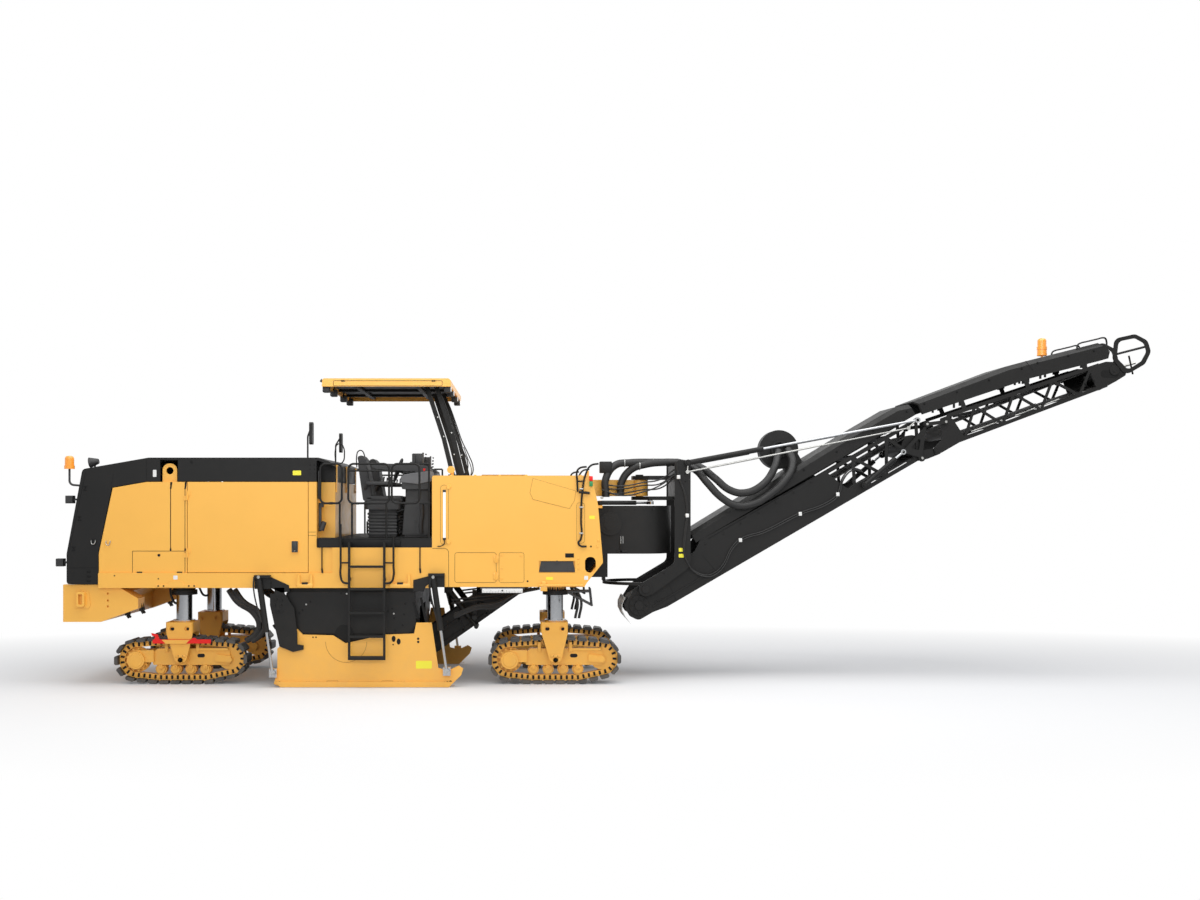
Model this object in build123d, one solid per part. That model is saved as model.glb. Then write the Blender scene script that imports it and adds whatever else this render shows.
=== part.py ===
from build123d import *
from math import asin, atan2, cos, degrees, hypot, radians, sin
import os

# Cold planer milling machine on four steered track units, with a folding front
# discharge conveyor. Millimetres. +X is the direction of travel, +Y the machine's
# left, +Z up. The origin lies on the ground, midway between the rearmost lamp and
# the conveyor's foremost guard, on the centre plane.

os.makedirs("parts", exist_ok=True)

# ---------------------------------------------------------------- clearances
FIT = 0.3  # seats, bores and pins
PANEL_GAP = 8.0  # round a panel that opens
CLEAR = 6.0  # between bodies that pass each other

# ---------------------------------------------------------------- chassis
BODY_HALF = 1250.0  # outer face of the side panels
HOUSE_HALF = BODY_HALF - 25.0  # engine house panels, set back from the body's outer face
ZONE_HALF = BODY_HALF + 150.0  # cutting zones reach past the body
SKIN = 40.0  # depth of hood and side panels
FRAME_LOW = 1304.0  # underside of the chassis rails
RAIL_TOP = 1500.0  # top of the rails behind the cutter
FLOOR = 30.0  # thickness of the floor plates
DECK_TOP = 1958.0  # operator's floor
DECK_THICK = 125.0
SPINE_IN = 560.0  # the two spines under the front hood
SPINE_OUT = 620.0
DECK_REAR = -3680.0
DECK_FRONT = -2392.0
FRONT_TOP = 2775.0  # roof of the front hood
FRAME_REAR = -6760.0
NOSE_FRONT = -155.0  # foremost point of the front hood
REACH = 7388.8  # rearmost lamp, from the origin

# ---------------------------------------------------------------- legs and tracks
LEG_X = {"rear": -5755.0, "front": -770.0}
LEG_Y = 800.0
COLUMN_R = 104.0
GUIDE_WALL = 42.0
GUIDE_LOW = 1190.0
GUIDE_HIGH = 2100.0
COLUMN_HIGH = 2040.0
STEER_PIVOT_Z = 330.0
YOKE_TOP = 830.0
YOKE_LOW = 690.0
YOKE_PLATE = 28.0
YOKE_HOLES = (-112.0, 85.0)
SHOE_HALF = 150.0
SHOE_PITCH = 150.0
SHOE_LENGTH = 120.0
SHOE_PLATE = 30.0
PAD = 17.0  # bevelled tread of each shoe
PAD_BEVEL = 16.0
LINK_HEIGHT = 70.0
CHAIN_HALF = 55.0
ROLLER_R = 75.0
SPROCKET_R = 168.0
IDLER_R = 146.0
SPROCKET_AT = (-612.0, 318.0)
IDLER_AT = (612.0, 335.0)
CARRIER_AT = (0.0, 458.0)
ROLLER_X = (-297.0, -98.0, 101.0, 300.0)
ROLLER_Z = LINK_HEIGHT + SHOE_PLATE + PAD + ROLLER_R

# ---------------------------------------------------------------- cutter
DRUM_X = -3360.0
DRUM_Z = 775.0
DRUM_SHELL_R = 380.0
CUT_R = 505.0
MILL_WIDTH = 2 * (BODY_HALF - 132.5)
HOUSING_WALL = 24.0
HOUSING_REAR = -4300.0
HOUSING_FRONT = -2620.0
HOUSE_FRONT = -3696.0  # front wall of the engine house
HOUSING_LOW = 350.0
DRUM_END_GAP = 10.0

# ---------------------------------------------------------------- slewing conveyor
NOSE_Z = (2515.0, 2740.0)
NOSE_PIN_R = 55.0
NOSE_BOSS_R = 120.0
SLEW_X = 430.0
TAIL_AT = (384.0, 1012.0)  # tail drum's centre, X and Z
BOOM_ANGLE = 30.2  # rise of the lower boom
UPPER_ANGLE = 20.6  # rise of the folding boom
BOOM_HALF = 420.0  # inside of the boom's side frames
BOOM_WALL = 20.0
FOLD_AT = (4467.0, 3131.0)
LIFT_AT = (470.0, 1238.0)
SWING_Z = 2420.0
SWING_PIN = (SLEW_X + 150.0, -200.0)
SWING_BASE = (-155.0, -550.0)
SWING_R = 30.0
EYE_HALF = 22.0  # half the width of a cylinder's eye


def block(x, y, z):
    """Box between pairs of low and high values."""
    size = Box(x[1] - x[0], y[1] - y[0], z[1] - z[0])
    return Pos((x[0] + x[1]) / 2, (y[0] + y[1]) / 2, (z[0] + z[1]) / 2) * size


def side_prism(outline, y, radius=0.0):
    """Prism of a closed X-Z outline between two Y values, with rounded corners."""
    points = [(px, 0, pz) for px, pz in outline]
    face = make_face(FilletPolyline(*points, radius=radius, close=True))
    return extrude(Pos(0, y[0], 0) * face, amount=y[1] - y[0], dir=(0, 1, 0))


def plan_prism(outline, z, radius=0.0):
    """Prism of a closed X-Y outline between two Z values, with rounded corners."""
    points = [(px, py, 0) for px, py in outline]
    face = make_face(FilletPolyline(*points, radius=radius, close=True))
    return extrude(Pos(0, 0, z[0]) * face, amount=z[1] - z[0], dir=(0, 0, 1))


def bar(start, end, radius):
    """Round bar between two points."""
    run = Vector(*end) - Vector(*start)
    seat = Plane(origin=start, z_dir=run)
    return seat * Cylinder(radius, run.length, align=(Align.CENTER, Align.CENTER, Align.MIN))


def pipe(start, end, radius, bore):
    """Round bar with a bore right through."""
    return bar(start, end, radius) - bar(start, end, bore)


def disc(x, z, y, radius):
    """Disc or shaft across the machine between two Y values."""
    return bar((x, y[0], z), (x, y[1], z), radius)


def both_sides(shape):
    """A piece and its mirror image across the centre plane."""
    return [shape, mirror(shape, about=Plane.XZ)]


def save(node, *shapes):
    """Write one node, as the solids of all its shapes."""
    solids = []
    for shape in shapes:
        group = shape if isinstance(shape, list) else [shape]
        for piece in group:
            solids += piece.solids()
    export_step(Compound(solids), f"parts/{node}.step")


# ---------------------------------------------------------------- track units
# One unit stands on its own steering axis, with the axis at X = Y = 0 and the
# ground at Z = 0. The drive sprocket is at the rear.
CHAIN_BUILD = LINK_HEIGHT + SHOE_PLATE + PAD


def loop_face(offset):
    """Face inside a belt round the wheels, grown by an offset: tangents joined by arcs."""
    wheels = (
        # centre X, Z, radius, anticlockwise from the rear lower roller
        (ROLLER_X[0], ROLLER_Z, ROLLER_R),
        (ROLLER_X[-1], ROLLER_Z, ROLLER_R),
        (*IDLER_AT, IDLER_R),
        (*CARRIER_AT, ROLLER_R),
        (*SPROCKET_AT, SPROCKET_R),
    )
    facing = []
    for here, there in zip(wheels, wheels[1:] + wheels[:1]):
        run = Vector(there[0] - here[0], there[1] - here[1])
        swing = degrees(asin((here[2] - there[2]) / run.length))
        facing.append(degrees(atan2(run.Y, run.X)) - 90 + swing)
    edges = []
    for index, (px, pz, radius) in enumerate(wheels):
        reach = radius + offset
        wrap = (facing[index] - facing[index - 1]) % 360
        edges.append(CenterArc((px, pz), reach, facing[index - 1], wrap))
    for arc, following in zip(list(edges), edges[1:] + edges[:1]):
        edges.append(Line(arc @ 1, following @ 0))
    return make_face(edges)


def loop_band(inner, outer, half):
    """Endless band between two offsets from the wheels, centred on the axis."""
    ring = loop_face(outer) - loop_face(inner)
    upright = Rot(90, 0, 0) * ring
    return extrude(Pos(0, half, 0) * upright, amount=2 * half, dir=(0, -1, 0))


def track_loop():
    """Belt of bevelled pads laid round the chain, worn level where it stands."""
    belt = loop_band(LINK_HEIGHT + FIT, LINK_HEIGHT + SHOE_PLATE * 0.3, CHAIN_HALF)
    rim = loop_face(LINK_HEIGHT).face()
    path = rim.outer_wire()
    middle = rim.center()
    count = round(path.length / SHOE_PITCH)
    half = SHOE_LENGTH / 2
    profile = [
        # along the shoe, out from the chain
        (-half, FIT),
        (half, FIT),
        (half, SHOE_PLATE),
        (half - PAD_BEVEL, SHOE_PLATE + PAD),
        (-half + PAD_BEVEL, SHOE_PLATE + PAD),
        (-half, SHOE_PLATE),
    ]
    shoe = side_prism(profile, (-SHOE_HALF, SHOE_HALF))
    shoes = []
    for index in range(count):
        at = path.position_at((index + 0.5) / count)
        ahead = path.tangent_at((index + 0.5) / count)
        out = Vector(ahead.Y, -ahead.X)
        if out.dot(at - middle) < 0:
            out = -out
        lean = degrees(atan2(out.X, out.Y))
        shoes.append(Pos(at.X, 0, at.Y) * Rot(0, lean, 0) * shoe)
    ground = block((-2000, 2000), (-SHOE_HALF - 1, SHOE_HALF + 1), (-100, 0))
    return belt.fuse(*shoes) - ground


def undercarriage():
    """Track frame with its drive, idler, rollers and chain."""
    frame = side_prism(
        [(-400, 250), (630, 250), (630, 440), (560, 470), (-330, 470), (-400, 420)],
        (-76, 76),
        radius=20,
    )
    frame -= disc(0, STEER_PIVOT_Z, (-80, 80), 38 + FIT)
    boss = disc(0, STEER_PIVOT_Z, (-118, 118), 78) - disc(0, STEER_PIVOT_Z, (-120, 120), 38 + FIT)
    frame += boss
    sprocket = disc(*SPROCKET_AT, (-20, 20), SPROCKET_R - FIT)
    hub = disc(*SPROCKET_AT, (-142, 60), 115)
    motor = disc(*SPROCKET_AT, (20, 150), 105)
    arms = block((-612, -380), (-110, -76), (290, 450)) + block((-612, -380), (76, 110), (290, 450))
    idler = disc(*IDLER_AT, (-50, 50), IDLER_R - FIT) + disc(*IDLER_AT, (-110, 110), 45)
    fork = side_prism([(440, 300), (640, 280), (670, 320), (640, 370), (440, 400)], (76, 104), radius=12)
    forks = fork + mirror(fork, about=Plane.XZ)
    rollers = [disc(px, ROLLER_Z, (-50, 50), ROLLER_R - FIT) for px in ROLLER_X]
    carrier = disc(*CARRIER_AT, (-50, 50), ROLLER_R - FIT)
    body = frame + sprocket + hub + motor + arms + idler + forks
    for roller in rollers + [carrier]:
        body += roller
    chain = loop_band(0, LINK_HEIGHT, CHAIN_HALF)
    return [body, chain]


def leg():
    """Lifting column with the yoke that straddles the track."""
    column = bar((0, 0, YOKE_TOP - 20), (0, 0, COLUMN_HIGH), COLUMN_R)
    yoke = block((-200, 165), (-SHOE_HALF - 45, SHOE_HALF + 45), (YOKE_LOW, YOKE_TOP))
    yoke = fillet(yoke.edges().filter_by(Axis.Z), 35)
    for px in YOKE_HOLES:
        for hole in both_sides(disc(px, 745, (-SHOE_HALF - 46, -SHOE_HALF - 20), 32)):
            yoke -= hole
    cheek = [(-188, YOKE_LOW), (-70, 300), (70, 300), (163, YOKE_LOW)]
    y_in = SHOE_HALF + 12
    plate = side_prism(cheek, (y_in, y_in + YOKE_PLATE), radius=[8, 60, 60, 8])
    pin = disc(0, STEER_PIVOT_Z, (-y_in - YOKE_PLATE - 12, y_in + YOKE_PLATE + 12), 38)
    collar = bar((0, 0, YOKE_TOP - 10), (0, 0, YOKE_TOP + 25), COLUMN_R + 40)
    return column + yoke + plate + mirror(plate, about=Plane.XZ) + pin + collar


UNIT = {"leg": [leg()], "undercarriage": undercarriage(), "track": [track_loop()]}
for end, leg_x in LEG_X.items():
    for side, sign in (("right", -1), ("left", 1)):
        for kind, pieces in UNIT.items():
            placed = []
            for piece in pieces:
                handed = piece if sign < 0 else mirror(piece, about=Plane.XZ)
                placed.append(Pos(leg_x, sign * LEG_Y, 0) * handed)
            save(f"{kind}_{end}_{side}", *placed)


# ---------------------------------------------------------------- chassis frame
LEGS = [(leg_x, sign * LEG_Y) for leg_x in LEG_X.values() for sign in (-1, 1)]
GUIDE_R = COLUMN_R + GUIDE_WALL


def leg_guides(side):
    """Pair of flanged tubes that the front or the rear legs slide in."""
    tubes = []
    for sign in (-1, 1):
        at = (LEG_X[side], sign * LEG_Y)
        tubes.append(bar((*at, GUIDE_LOW), (*at, GUIDE_HIGH), GUIDE_R))
        tubes.append(bar((*at, GUIDE_LOW), (*at, GUIDE_LOW + 60), GUIDE_R + 25))
    return tubes


def leg_bores(side):
    """Bores of the leg guides, closed above."""
    at = [(LEG_X[side], sign * LEG_Y) for sign in (-1, 1)]
    return [bar((*xy, GUIDE_LOW - 1), (*xy, GUIDE_HIGH - 30), COLUMN_R + FIT) for xy in at]


def main_frame():
    """Rails, floor plates, the operator's bay and the rear leg guides."""
    rail = side_prism(
        [
            (FRAME_REAR, FRAME_LOW), (HOUSE_FRONT + 6, FRAME_LOW),
            (HOUSE_FRONT + 6, RAIL_TOP), (FRAME_REAR, RAIL_TOP),
        ],
        (-BODY_HALF, -BODY_HALF + 90),
    )
    # the operator's bay between the engine house and the front hood
    bay_front = DECK_FRONT - FIT
    bay_top = DECK_TOP - DECK_THICK - FIT
    bay = side_prism(
        [(HOUSE_FRONT, FRAME_LOW), (bay_front, FRAME_LOW), (bay_front, bay_top), (HOUSE_FRONT, bay_top)],
        (-BODY_HALF, -BODY_HALF + 40),
    )
    floor_z = (FRAME_LOW, FRAME_LOW + FLOOR)
    frame = block((FRAME_REAR, HOUSING_REAR), (-BODY_HALF + 90, BODY_HALF - 90), floor_z)
    frame += block((HOUSING_REAR, bay_front), (-BODY_HALF + 60, BODY_HALF - 60), floor_z)
    bulkhead_half = HOUSE_HALF - SKIN - CLEAR
    frame += block((HOUSING_REAR - 20, HOUSING_REAR + 20), (-bulkhead_half, bulkhead_half), (FRAME_LOW, 1780))
    for piece in both_sides(rail) + both_sides(bay) + leg_guides("rear"):
        frame += piece
    for bore in leg_bores("rear"):
        frame -= bore
    return frame


def front_frame():
    """Spines, cross member, front leg guides and the nose that carries the slewing fork."""
    wall_half = BODY_HALF - SKIN - FIT
    frame = block((DECK_FRONT, DECK_FRONT + 40), (-wall_half, wall_half), (FRAME_LOW, FRONT_TOP - SKIN - FIT))
    floor = block((DECK_FRONT + 20, -470), (-BODY_HALF + 60, -SPINE_IN), (1340, 1372))
    spine = block((DECK_FRONT + 20, -420), (-SPINE_OUT, -SPINE_IN), (1372, 2300))
    horn = block((-560, -420), (-SPINE_OUT, -SPINE_IN), (2200, 2400))
    for piece in both_sides(floor) + both_sides(spine) + both_sides(horn) + leg_guides("front"):
        frame += piece
    frame += block((-560, -420), (-SPINE_OUT, SPINE_OUT), (2360, 2700))
    frame += block((-500, -400), (-320, 320), (2360, NOSE_Z[1]))
    for bore in leg_bores("front"):
        frame -= bore
    return frame


def slew_nose():
    """Forked nose with the upper slewing bore."""
    arm = plan_prism(
        [(-420, -300), (SLEW_X - 90, -NOSE_BOSS_R), (SLEW_X - 90, NOSE_BOSS_R), (-420, 300)], NOSE_Z
    )
    boss = bar((SLEW_X, 0, NOSE_Z[0]), (SLEW_X, 0, NOSE_Z[1]), NOSE_BOSS_R)
    arm += boss
    arm -= plan_prism([(-330, -200), (150, -80), (150, 80), (-330, 200)], (NOSE_Z[0] + 60, NOSE_Z[1] + 1))
    arm -= bar((SLEW_X, 0, NOSE_Z[0] - 1), (SLEW_X, 0, NOSE_Z[1] + 1), NOSE_PIN_R + FIT)
    return arm


save("main_frame", main_frame())
save("front_frame", front_frame() + slew_nose())

BUMPER_HALF = BODY_HALF - 70.0
BUMPER_OUTLINE = [
    # X, Z round the bumper's side from its lower rear corner
    (-7244, 853), (-6750, 853), (-6260, 1030), (-6260, 1160), (-6500, FRAME_LOW - FIT),
    (FRAME_REAR - FIT, FRAME_LOW - FIT), (FRAME_REAR - FIT, 1344), (-7244, 1344),
]
BUMPER_HOLES = (1056.0, 1134.0, 1226.0)
bumper = side_prism(BUMPER_OUTLINE, (-BUMPER_HALF, BUMPER_HALF))
bumper -= side_prism([(-6700, 840), (-6200, 840), (-6200, 1250), (-6560, 1250), (-6700, 1100)], (-900, 900))
tie_down = block((-7048, -6944), (-BODY_HALF, -BUMPER_HALF + 5), (1056, 1252))
tie_down = fillet(tie_down.edges().filter_by(Axis.Y), 30)
tie_down -= block((-7022, -6970), (-BODY_HALF - 1, -BUMPER_HALF - 20), (1088, 1220))
for casting in both_sides(tie_down):
    bumper += casting
for hole_z in BUMPER_HOLES:
    for hole in both_sides(disc(-6656, hole_z, (-BUMPER_HALF - 1, -BUMPER_HALF + 30), 15)):
        bumper -= hole
save("rear_bumper", bumper)

engine = block((-6400, -4600), (-560, 560), (FRAME_LOW + FLOOR + FIT, 2480))
save("engine_block", engine)


# ---------------------------------------------------------------- engine house
# One hollow house with the real outline; the black hood, the yellow side panels
# and the doors are cut out of its walls with the gaps between the real panels.
HOOD_REAR = -7182.0
HOOD_TOP = 3011.0
HOOD_FOOT = FRAME_REAR - CLEAR  # foremost point of the hood's lower part
HOOD_OUTLINE = [
    # X, Z round the engine house from the lower rear corner
    (HOOD_REAR, 1352), (HOOD_REAR, 1749), (HOOD_REAR + 207, 2860), (HOOD_REAR + 1075, HOOD_TOP),
    (HOUSE_FRONT - 184, HOOD_TOP), (HOUSE_FRONT, HOOD_TOP - 72), (HOUSE_FRONT, RAIL_TOP + FIT),
    (HOOD_FOOT, RAIL_TOP + FIT), (HOOD_FOOT, 1352),
]
HOOD_EDGE = [
    # lower edge of the black hood, from its front to its foot
    (HOUSE_FRONT - 1, 2700), (-6133, 2700), (-6590, 2620), (HOOD_FOOT, 1758), (HOOD_FOOT, 1340),
]
DOOR_X = (-5596.0, -4020.0)
DOOR_Z = (1506.0, 2692.0)
HINGE_OUT = 12.0  # pin axis of a panel's hinge, out from the panel
HINGE_R = HINGE_OUT - 0.5
HOOD_HINGE_Z = 2915.0
HOOD_HINGE_Y = (-900.0, 0.0, 900.0)
DOOR_HINGE_X = DOOR_X[0] - PANEL_GAP / 2
DOOR_HINGE_Z = (1700.0, 2450.0)
KNUCKLE = 60.0
EYE_X = (-5935.0, -5745.0)


NOTCH_REAR = -3906.0  # corner recess over the platform's wings
NOTCH_IN = 1000.0


def notch(grow, low, high):
    """Space of one front corner recess, grown into the house and cut off at two levels."""
    return block((NOTCH_REAR - grow, HOUSE_FRONT + 20), (-ZONE_HALF, -NOTCH_IN + grow), (low, high))


def house_walls():
    """Outer walls and roof of the engine house, open below and to the front."""
    outer = side_prism(HOOD_OUTLINE, (-HOUSE_HALF, HOUSE_HALF), radius=[40, 40, 60, 120, 60, 30, 0, 0, 0])
    inner = side_prism(
        [
            (HOOD_REAR + SKIN, 1300), (HOOD_REAR + SKIN, 1746), (HOOD_REAR + 213 + SKIN, 2860 - SKIN),
            (HOOD_REAR + 1075, HOOD_TOP - SKIN), (HOUSE_FRONT - 184, HOOD_TOP - SKIN),
            (HOUSE_FRONT - SKIN, HOOD_TOP - 72 - SKIN), (HOUSE_FRONT - SKIN, 1400), (FRAME_REAR + 60, 1300),
        ],
        (-HOUSE_HALF + SKIN, HOUSE_HALF - SKIN),
    )
    front = [
        (HOUSE_FRONT - 400, DECK_TOP - DECK_THICK - FIT), (HOUSE_FRONT - 400, HOOD_TOP - SKIN),
        (HOUSE_FRONT - 184, HOOD_TOP - SKIN), (HOUSE_FRONT + 30, HOOD_TOP - 72 - SKIN - 12),
        (HOUSE_FRONT + 30, DECK_TOP - DECK_THICK - FIT),
    ]
    under_roof = side_prism(front, (-ZONE_HALF, ZONE_HALF))
    walls = outer - inner
    for side in both_sides(notch(SKIN, 1700, HOOD_TOP)):
        walls += side & outer & under_roof
    for side in both_sides(notch(0, 1700, HOOD_TOP)):
        walls -= side & under_roof
    return walls


WALLS = house_walls()
hood_zone = side_prism(
    [
        (HOOD_REAR - 100, 1340), (HOOD_REAR - 100, HOOD_TOP + 150), (HOUSE_FRONT + 10, HOOD_TOP + 150),
    ] + HOOD_EDGE,
    (-ZONE_HALF, ZONE_HALF),
)
below_hood = side_prism(
    [
        (HOUSE_FRONT + 10, 2700 - PANEL_GAP), (-6133 + 2, 2700 - PANEL_GAP), (-6590 + 14, 2620 - 6),
        (HOOD_FOOT + PANEL_GAP, 1758), (HOOD_FOOT + PANEL_GAP, 1300), (HOUSE_FRONT + 10, 1300),
    ],
    (-ZONE_HALF, ZONE_HALF),
)
door_zone = block(DOOR_X, (-ZONE_HALF, -HOUSE_HALF + 2 * SKIN), DOOR_Z)
door_hole = block(
    (DOOR_X[0] - PANEL_GAP, DOOR_X[1] + PANEL_GAP), (-ZONE_HALF, -HOUSE_HALF + 2 * SKIN),
    (DOOR_Z[0] - 10, DOOR_Z[1] + PANEL_GAP),
)
eye_slot = block((EYE_X[0] - 22, EYE_X[1] + 22), (-ZONE_HALF, -HOUSE_HALF + 120), (2600, 2980))

hood = WALLS & hood_zone
hood -= eye_slot
hood -= mirror(eye_slot, about=Plane.XZ)
hood_pin_x = HOUSE_FRONT + HINGE_OUT + 2
hood_knuckles = []
for pin_y in HOOD_HINGE_Y:
    knuckle_y = (pin_y + FIT, pin_y + KNUCKLE)
    leaf = block((HOUSE_FRONT - 5, hood_pin_x), knuckle_y, (HOOD_HINGE_Z - 4, HOOD_HINGE_Z + 4))
    hood_knuckles.append(leaf + disc(hood_pin_x, HOOD_HINGE_Z, knuckle_y, HINGE_R))
save("engine_hood", hood.fuse(*hood_knuckles))

panels = WALLS & below_hood
panels -= door_hole
panels -= mirror(door_hole, about=Plane.XZ)
for pin_y in HOOD_HINGE_Y:
    strap_x = (HOUSE_FRONT + CLEAR, HOUSE_FRONT + CLEAR + 10)
    strap = block(strap_x, (pin_y - KNUCKLE, pin_y), (2560, HOOD_HINGE_Z))
    strap += block((HOUSE_FRONT - 5, strap_x[1]), (pin_y - KNUCKLE, pin_y), (2560, 2600))
    panels += strap + disc(hood_pin_x, HOOD_HINGE_Z, (pin_y - KNUCKLE, pin_y), HINGE_R)


def door_knuckle(low, reach):
    """Hinge barrel beside the door's rear edge, on a leaf that reaches one way."""
    pin_y = -HOUSE_HALF - HINGE_OUT
    leaf_x = sorted((DOOR_HINGE_X, DOOR_HINGE_X + reach))
    leaf = block(leaf_x, (pin_y + 4, -HOUSE_HALF + 5), (low, low + KNUCKLE))
    leaf -= bar((DOOR_HINGE_X, pin_y, low - 1), (DOOR_HINGE_X, pin_y, low + KNUCKLE + 1), HINGE_R - 2)
    seam = (DOOR_HINGE_X - 8, DOOR_HINGE_X + 8)
    leaf -= block(seam, (-HOUSE_HALF - 1, -HOUSE_HALF + 6), (low - 1, low + KNUCKLE + 1))
    return leaf + bar((DOOR_HINGE_X, pin_y, low), (DOOR_HINGE_X, pin_y, low + KNUCKLE), HINGE_R)


for low in DOOR_HINGE_Z:
    for knuckle in both_sides(door_knuckle(low, -44)):
        panels += knuckle

door = WALLS & door_zone
for low in DOOR_HINGE_Z:
    door += door_knuckle(low + KNUCKLE + FIT, 44)
handle = block((-4234, -4142), (-HOUSE_HALF - 22, -HOUSE_HALF + 5), (1766, 1924))
door += fillet(handle.edges().filter_by(Axis.X), 8)
save("side_door_right", door)
save("side_door_left", mirror(door, about=Plane.XZ))

LAMP_Y = -1000.0
LAMPS = (
    # rear X, low Z and front end of the bracket of each rear lamp
    (-REACH, 1575.0, HOOD_REAR + 28),
    (HOOD_REAR - 80, 2410.0, HOOD_REAR + 135),
)
BEACON_AT = (-7226.0, 2868.0)
BEACON_R = 68.0
WORK_LAMP_AT = (-6960.0, 2862.0)


def rear_lamp(rear, low, bracket):
    """Box lamp with rounded edges on its bracket."""
    housing = block((rear, rear + 95), (LAMP_Y - 55, LAMP_Y + 55), (low, low + 105))
    housing = fillet(housing.edges().filter_by(Axis.X), 14)
    return housing + block((rear + 85, bracket), (LAMP_Y - 18, LAMP_Y + 18), (low + 40, low + 66))


def rear_beacon():
    """Round beacon on a post bent out from the hood's sloping back."""
    px, pz = BEACON_AT
    path = FilletPolyline((-7000, LAMP_Y, 2640), (px, LAMP_Y, 2660), (px, LAMP_Y, pz + 5), radius=60)
    post = sweep(Plane(origin=path @ 0, z_dir=path % 0) * Circle(14), path=path)
    base = bar((px, LAMP_Y, pz), (px, LAMP_Y, pz + 45), BEACON_R)
    lens = bar((px, LAMP_Y, pz + 45), (px, LAMP_Y, pz + 175), BEACON_R - 8)
    return post + base + fillet(lens.edges().sort_by(Axis.Z)[-1], 40)


def work_lamp():
    """Conical work lamp on the hood's rear top edge."""
    px, pz = WORK_LAMP_AT
    cone = Pos(px, LAMP_Y + 180, pz + 105) * Rot(0, -100, 0) * Cone(34, 72, 120)
    return cone + bar((px + 10, LAMP_Y + 180, pz - 10), (px + 10, LAMP_Y + 180, pz + 100), 13)


lamp_solids = [rear_beacon()]
for lamp in LAMPS:
    lamp_solids += both_sides(rear_lamp(*lamp))
lamp_solids += both_sides(work_lamp())
save("rear_lamps", *[piece - hood for piece in lamp_solids])

MIRROR_FOOT = (HOUSE_FRONT - 334, -BODY_HALF + 70, HOOD_TOP - 21)


def mirror_arm():
    """Mirror head on a bent rod at the front of the engine hood."""
    px, py, pz = MIRROR_FOOT
    path = FilletPolyline((px, py, pz), (px, py, pz + 300), (px + 60, py - 80, pz + 420), radius=50)
    rod = sweep(Plane(origin=path @ 0, z_dir=path % 0) * Circle(11), path=path)
    head = block((px + 45, px + 85), (py - 160, py - 30), (pz + 190, pz + 480))
    head = fillet(head.edges().filter_by(Axis.X), 30)
    return rod + head


save("mirrors", *[piece - hood for piece in both_sides(mirror_arm())])

eye = side_prism(
    [(EYE_X[0], 2600), (EYE_X[1], 2600), (EYE_X[1], 2935), (EYE_X[0], 2935)],
    (-HOUSE_HALF + SKIN + FIT, -HOUSE_HALF + SKIN + 30), radius=[0, 0, 90, 90],
)
eye -= disc(-5840, 2840, (-HOUSE_HALF, -HOUSE_HALF + 200), 48)
save("side_panels", panels, *both_sides(eye))


# ---------------------------------------------------------------- operator's platform
deck_z = (DECK_TOP - DECK_THICK, DECK_TOP)
deck = block((HOUSE_FRONT + 12, DECK_FRONT - FIT), (-BODY_HALF, BODY_HALF), deck_z)
wing = block((NOTCH_REAR + 12, HOUSE_FRONT + 20), (-BODY_HALF, -NOTCH_IN - CLEAR), deck_z)
for side in both_sides(wing):
    deck += side
for leg_x, leg_y in LEGS:
    deck -= bar((leg_x, leg_y, 1800), (leg_x, leg_y, 2000), GUIDE_R + CLEAR)
save("platform", deck)

RAIL_R = 14.0
RAIL_Y = -BODY_HALF + 6
RAIL_Z = (2412.0, 2928.0)
RAIL_LOOPS = (
    # rear X and front X of each guard loop
    (-3855.0, -3573.0),
    (-3488.0, -2955.0),
    (-2919.0, -2557.0),
)
RAIL_POSTS = (
    # X and top Z of each upright
    (-3600.0, RAIL_Z[0]),
    (-3440.0, RAIL_Z[0]),
    (-2990.0, RAIL_Z[0]),
    (-2432.0, RAIL_Z[1]),
)
RAIL_TIES = (
    # rear X, front X and Z of each straight tube
    (-3488.0, -2955.0, 2838.0),
    (-2955.0, -2919.0, 2741.0),
    (-2955.0, -2919.0, 2495.0),
    (-2557.0, -2432.0, RAIL_Z[0]),
    (-2557.0, -2432.0, RAIL_Z[1]),
)


def guard_loop(x_rear, x_front):
    """Tube bent into a closed upright loop, its ends joined by a sleeve."""
    low, high = RAIL_Z
    middle = (x_rear + x_front) / 2
    path = FilletPolyline(
        (middle + 1, RAIL_Y, low), (x_front, RAIL_Y, low), (x_front, RAIL_Y, high),
        (x_rear, RAIL_Y, high), (x_rear, RAIL_Y, low), (middle - 1, RAIL_Y, low), radius=70,
    )
    tube = sweep(Plane(origin=path @ 0, z_dir=path % 0) * Circle(RAIL_R), path=path)
    return tube + bar((middle - 25, RAIL_Y, low), (middle + 25, RAIL_Y, low), RAIL_R + 3)


rails = guard_loop(*RAIL_LOOPS[0])
for loop in RAIL_LOOPS[1:]:
    rails += guard_loop(*loop)
for px, top in RAIL_POSTS:
    rails += bar((px, RAIL_Y, DECK_TOP + FIT), (px, RAIL_Y, top), RAIL_R - 1)
for x_rear, x_front, height in RAIL_TIES:
    rails += bar((x_rear, RAIL_Y, height), (x_front, RAIL_Y, height), RAIL_R - 2)
save("guard_rails", *both_sides(rails))

LADDER_X = (-3464.0, -3007.0)
RUNG_Z = (410.0, 680.0, 990.0, 1300.0, 1590.0)


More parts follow.
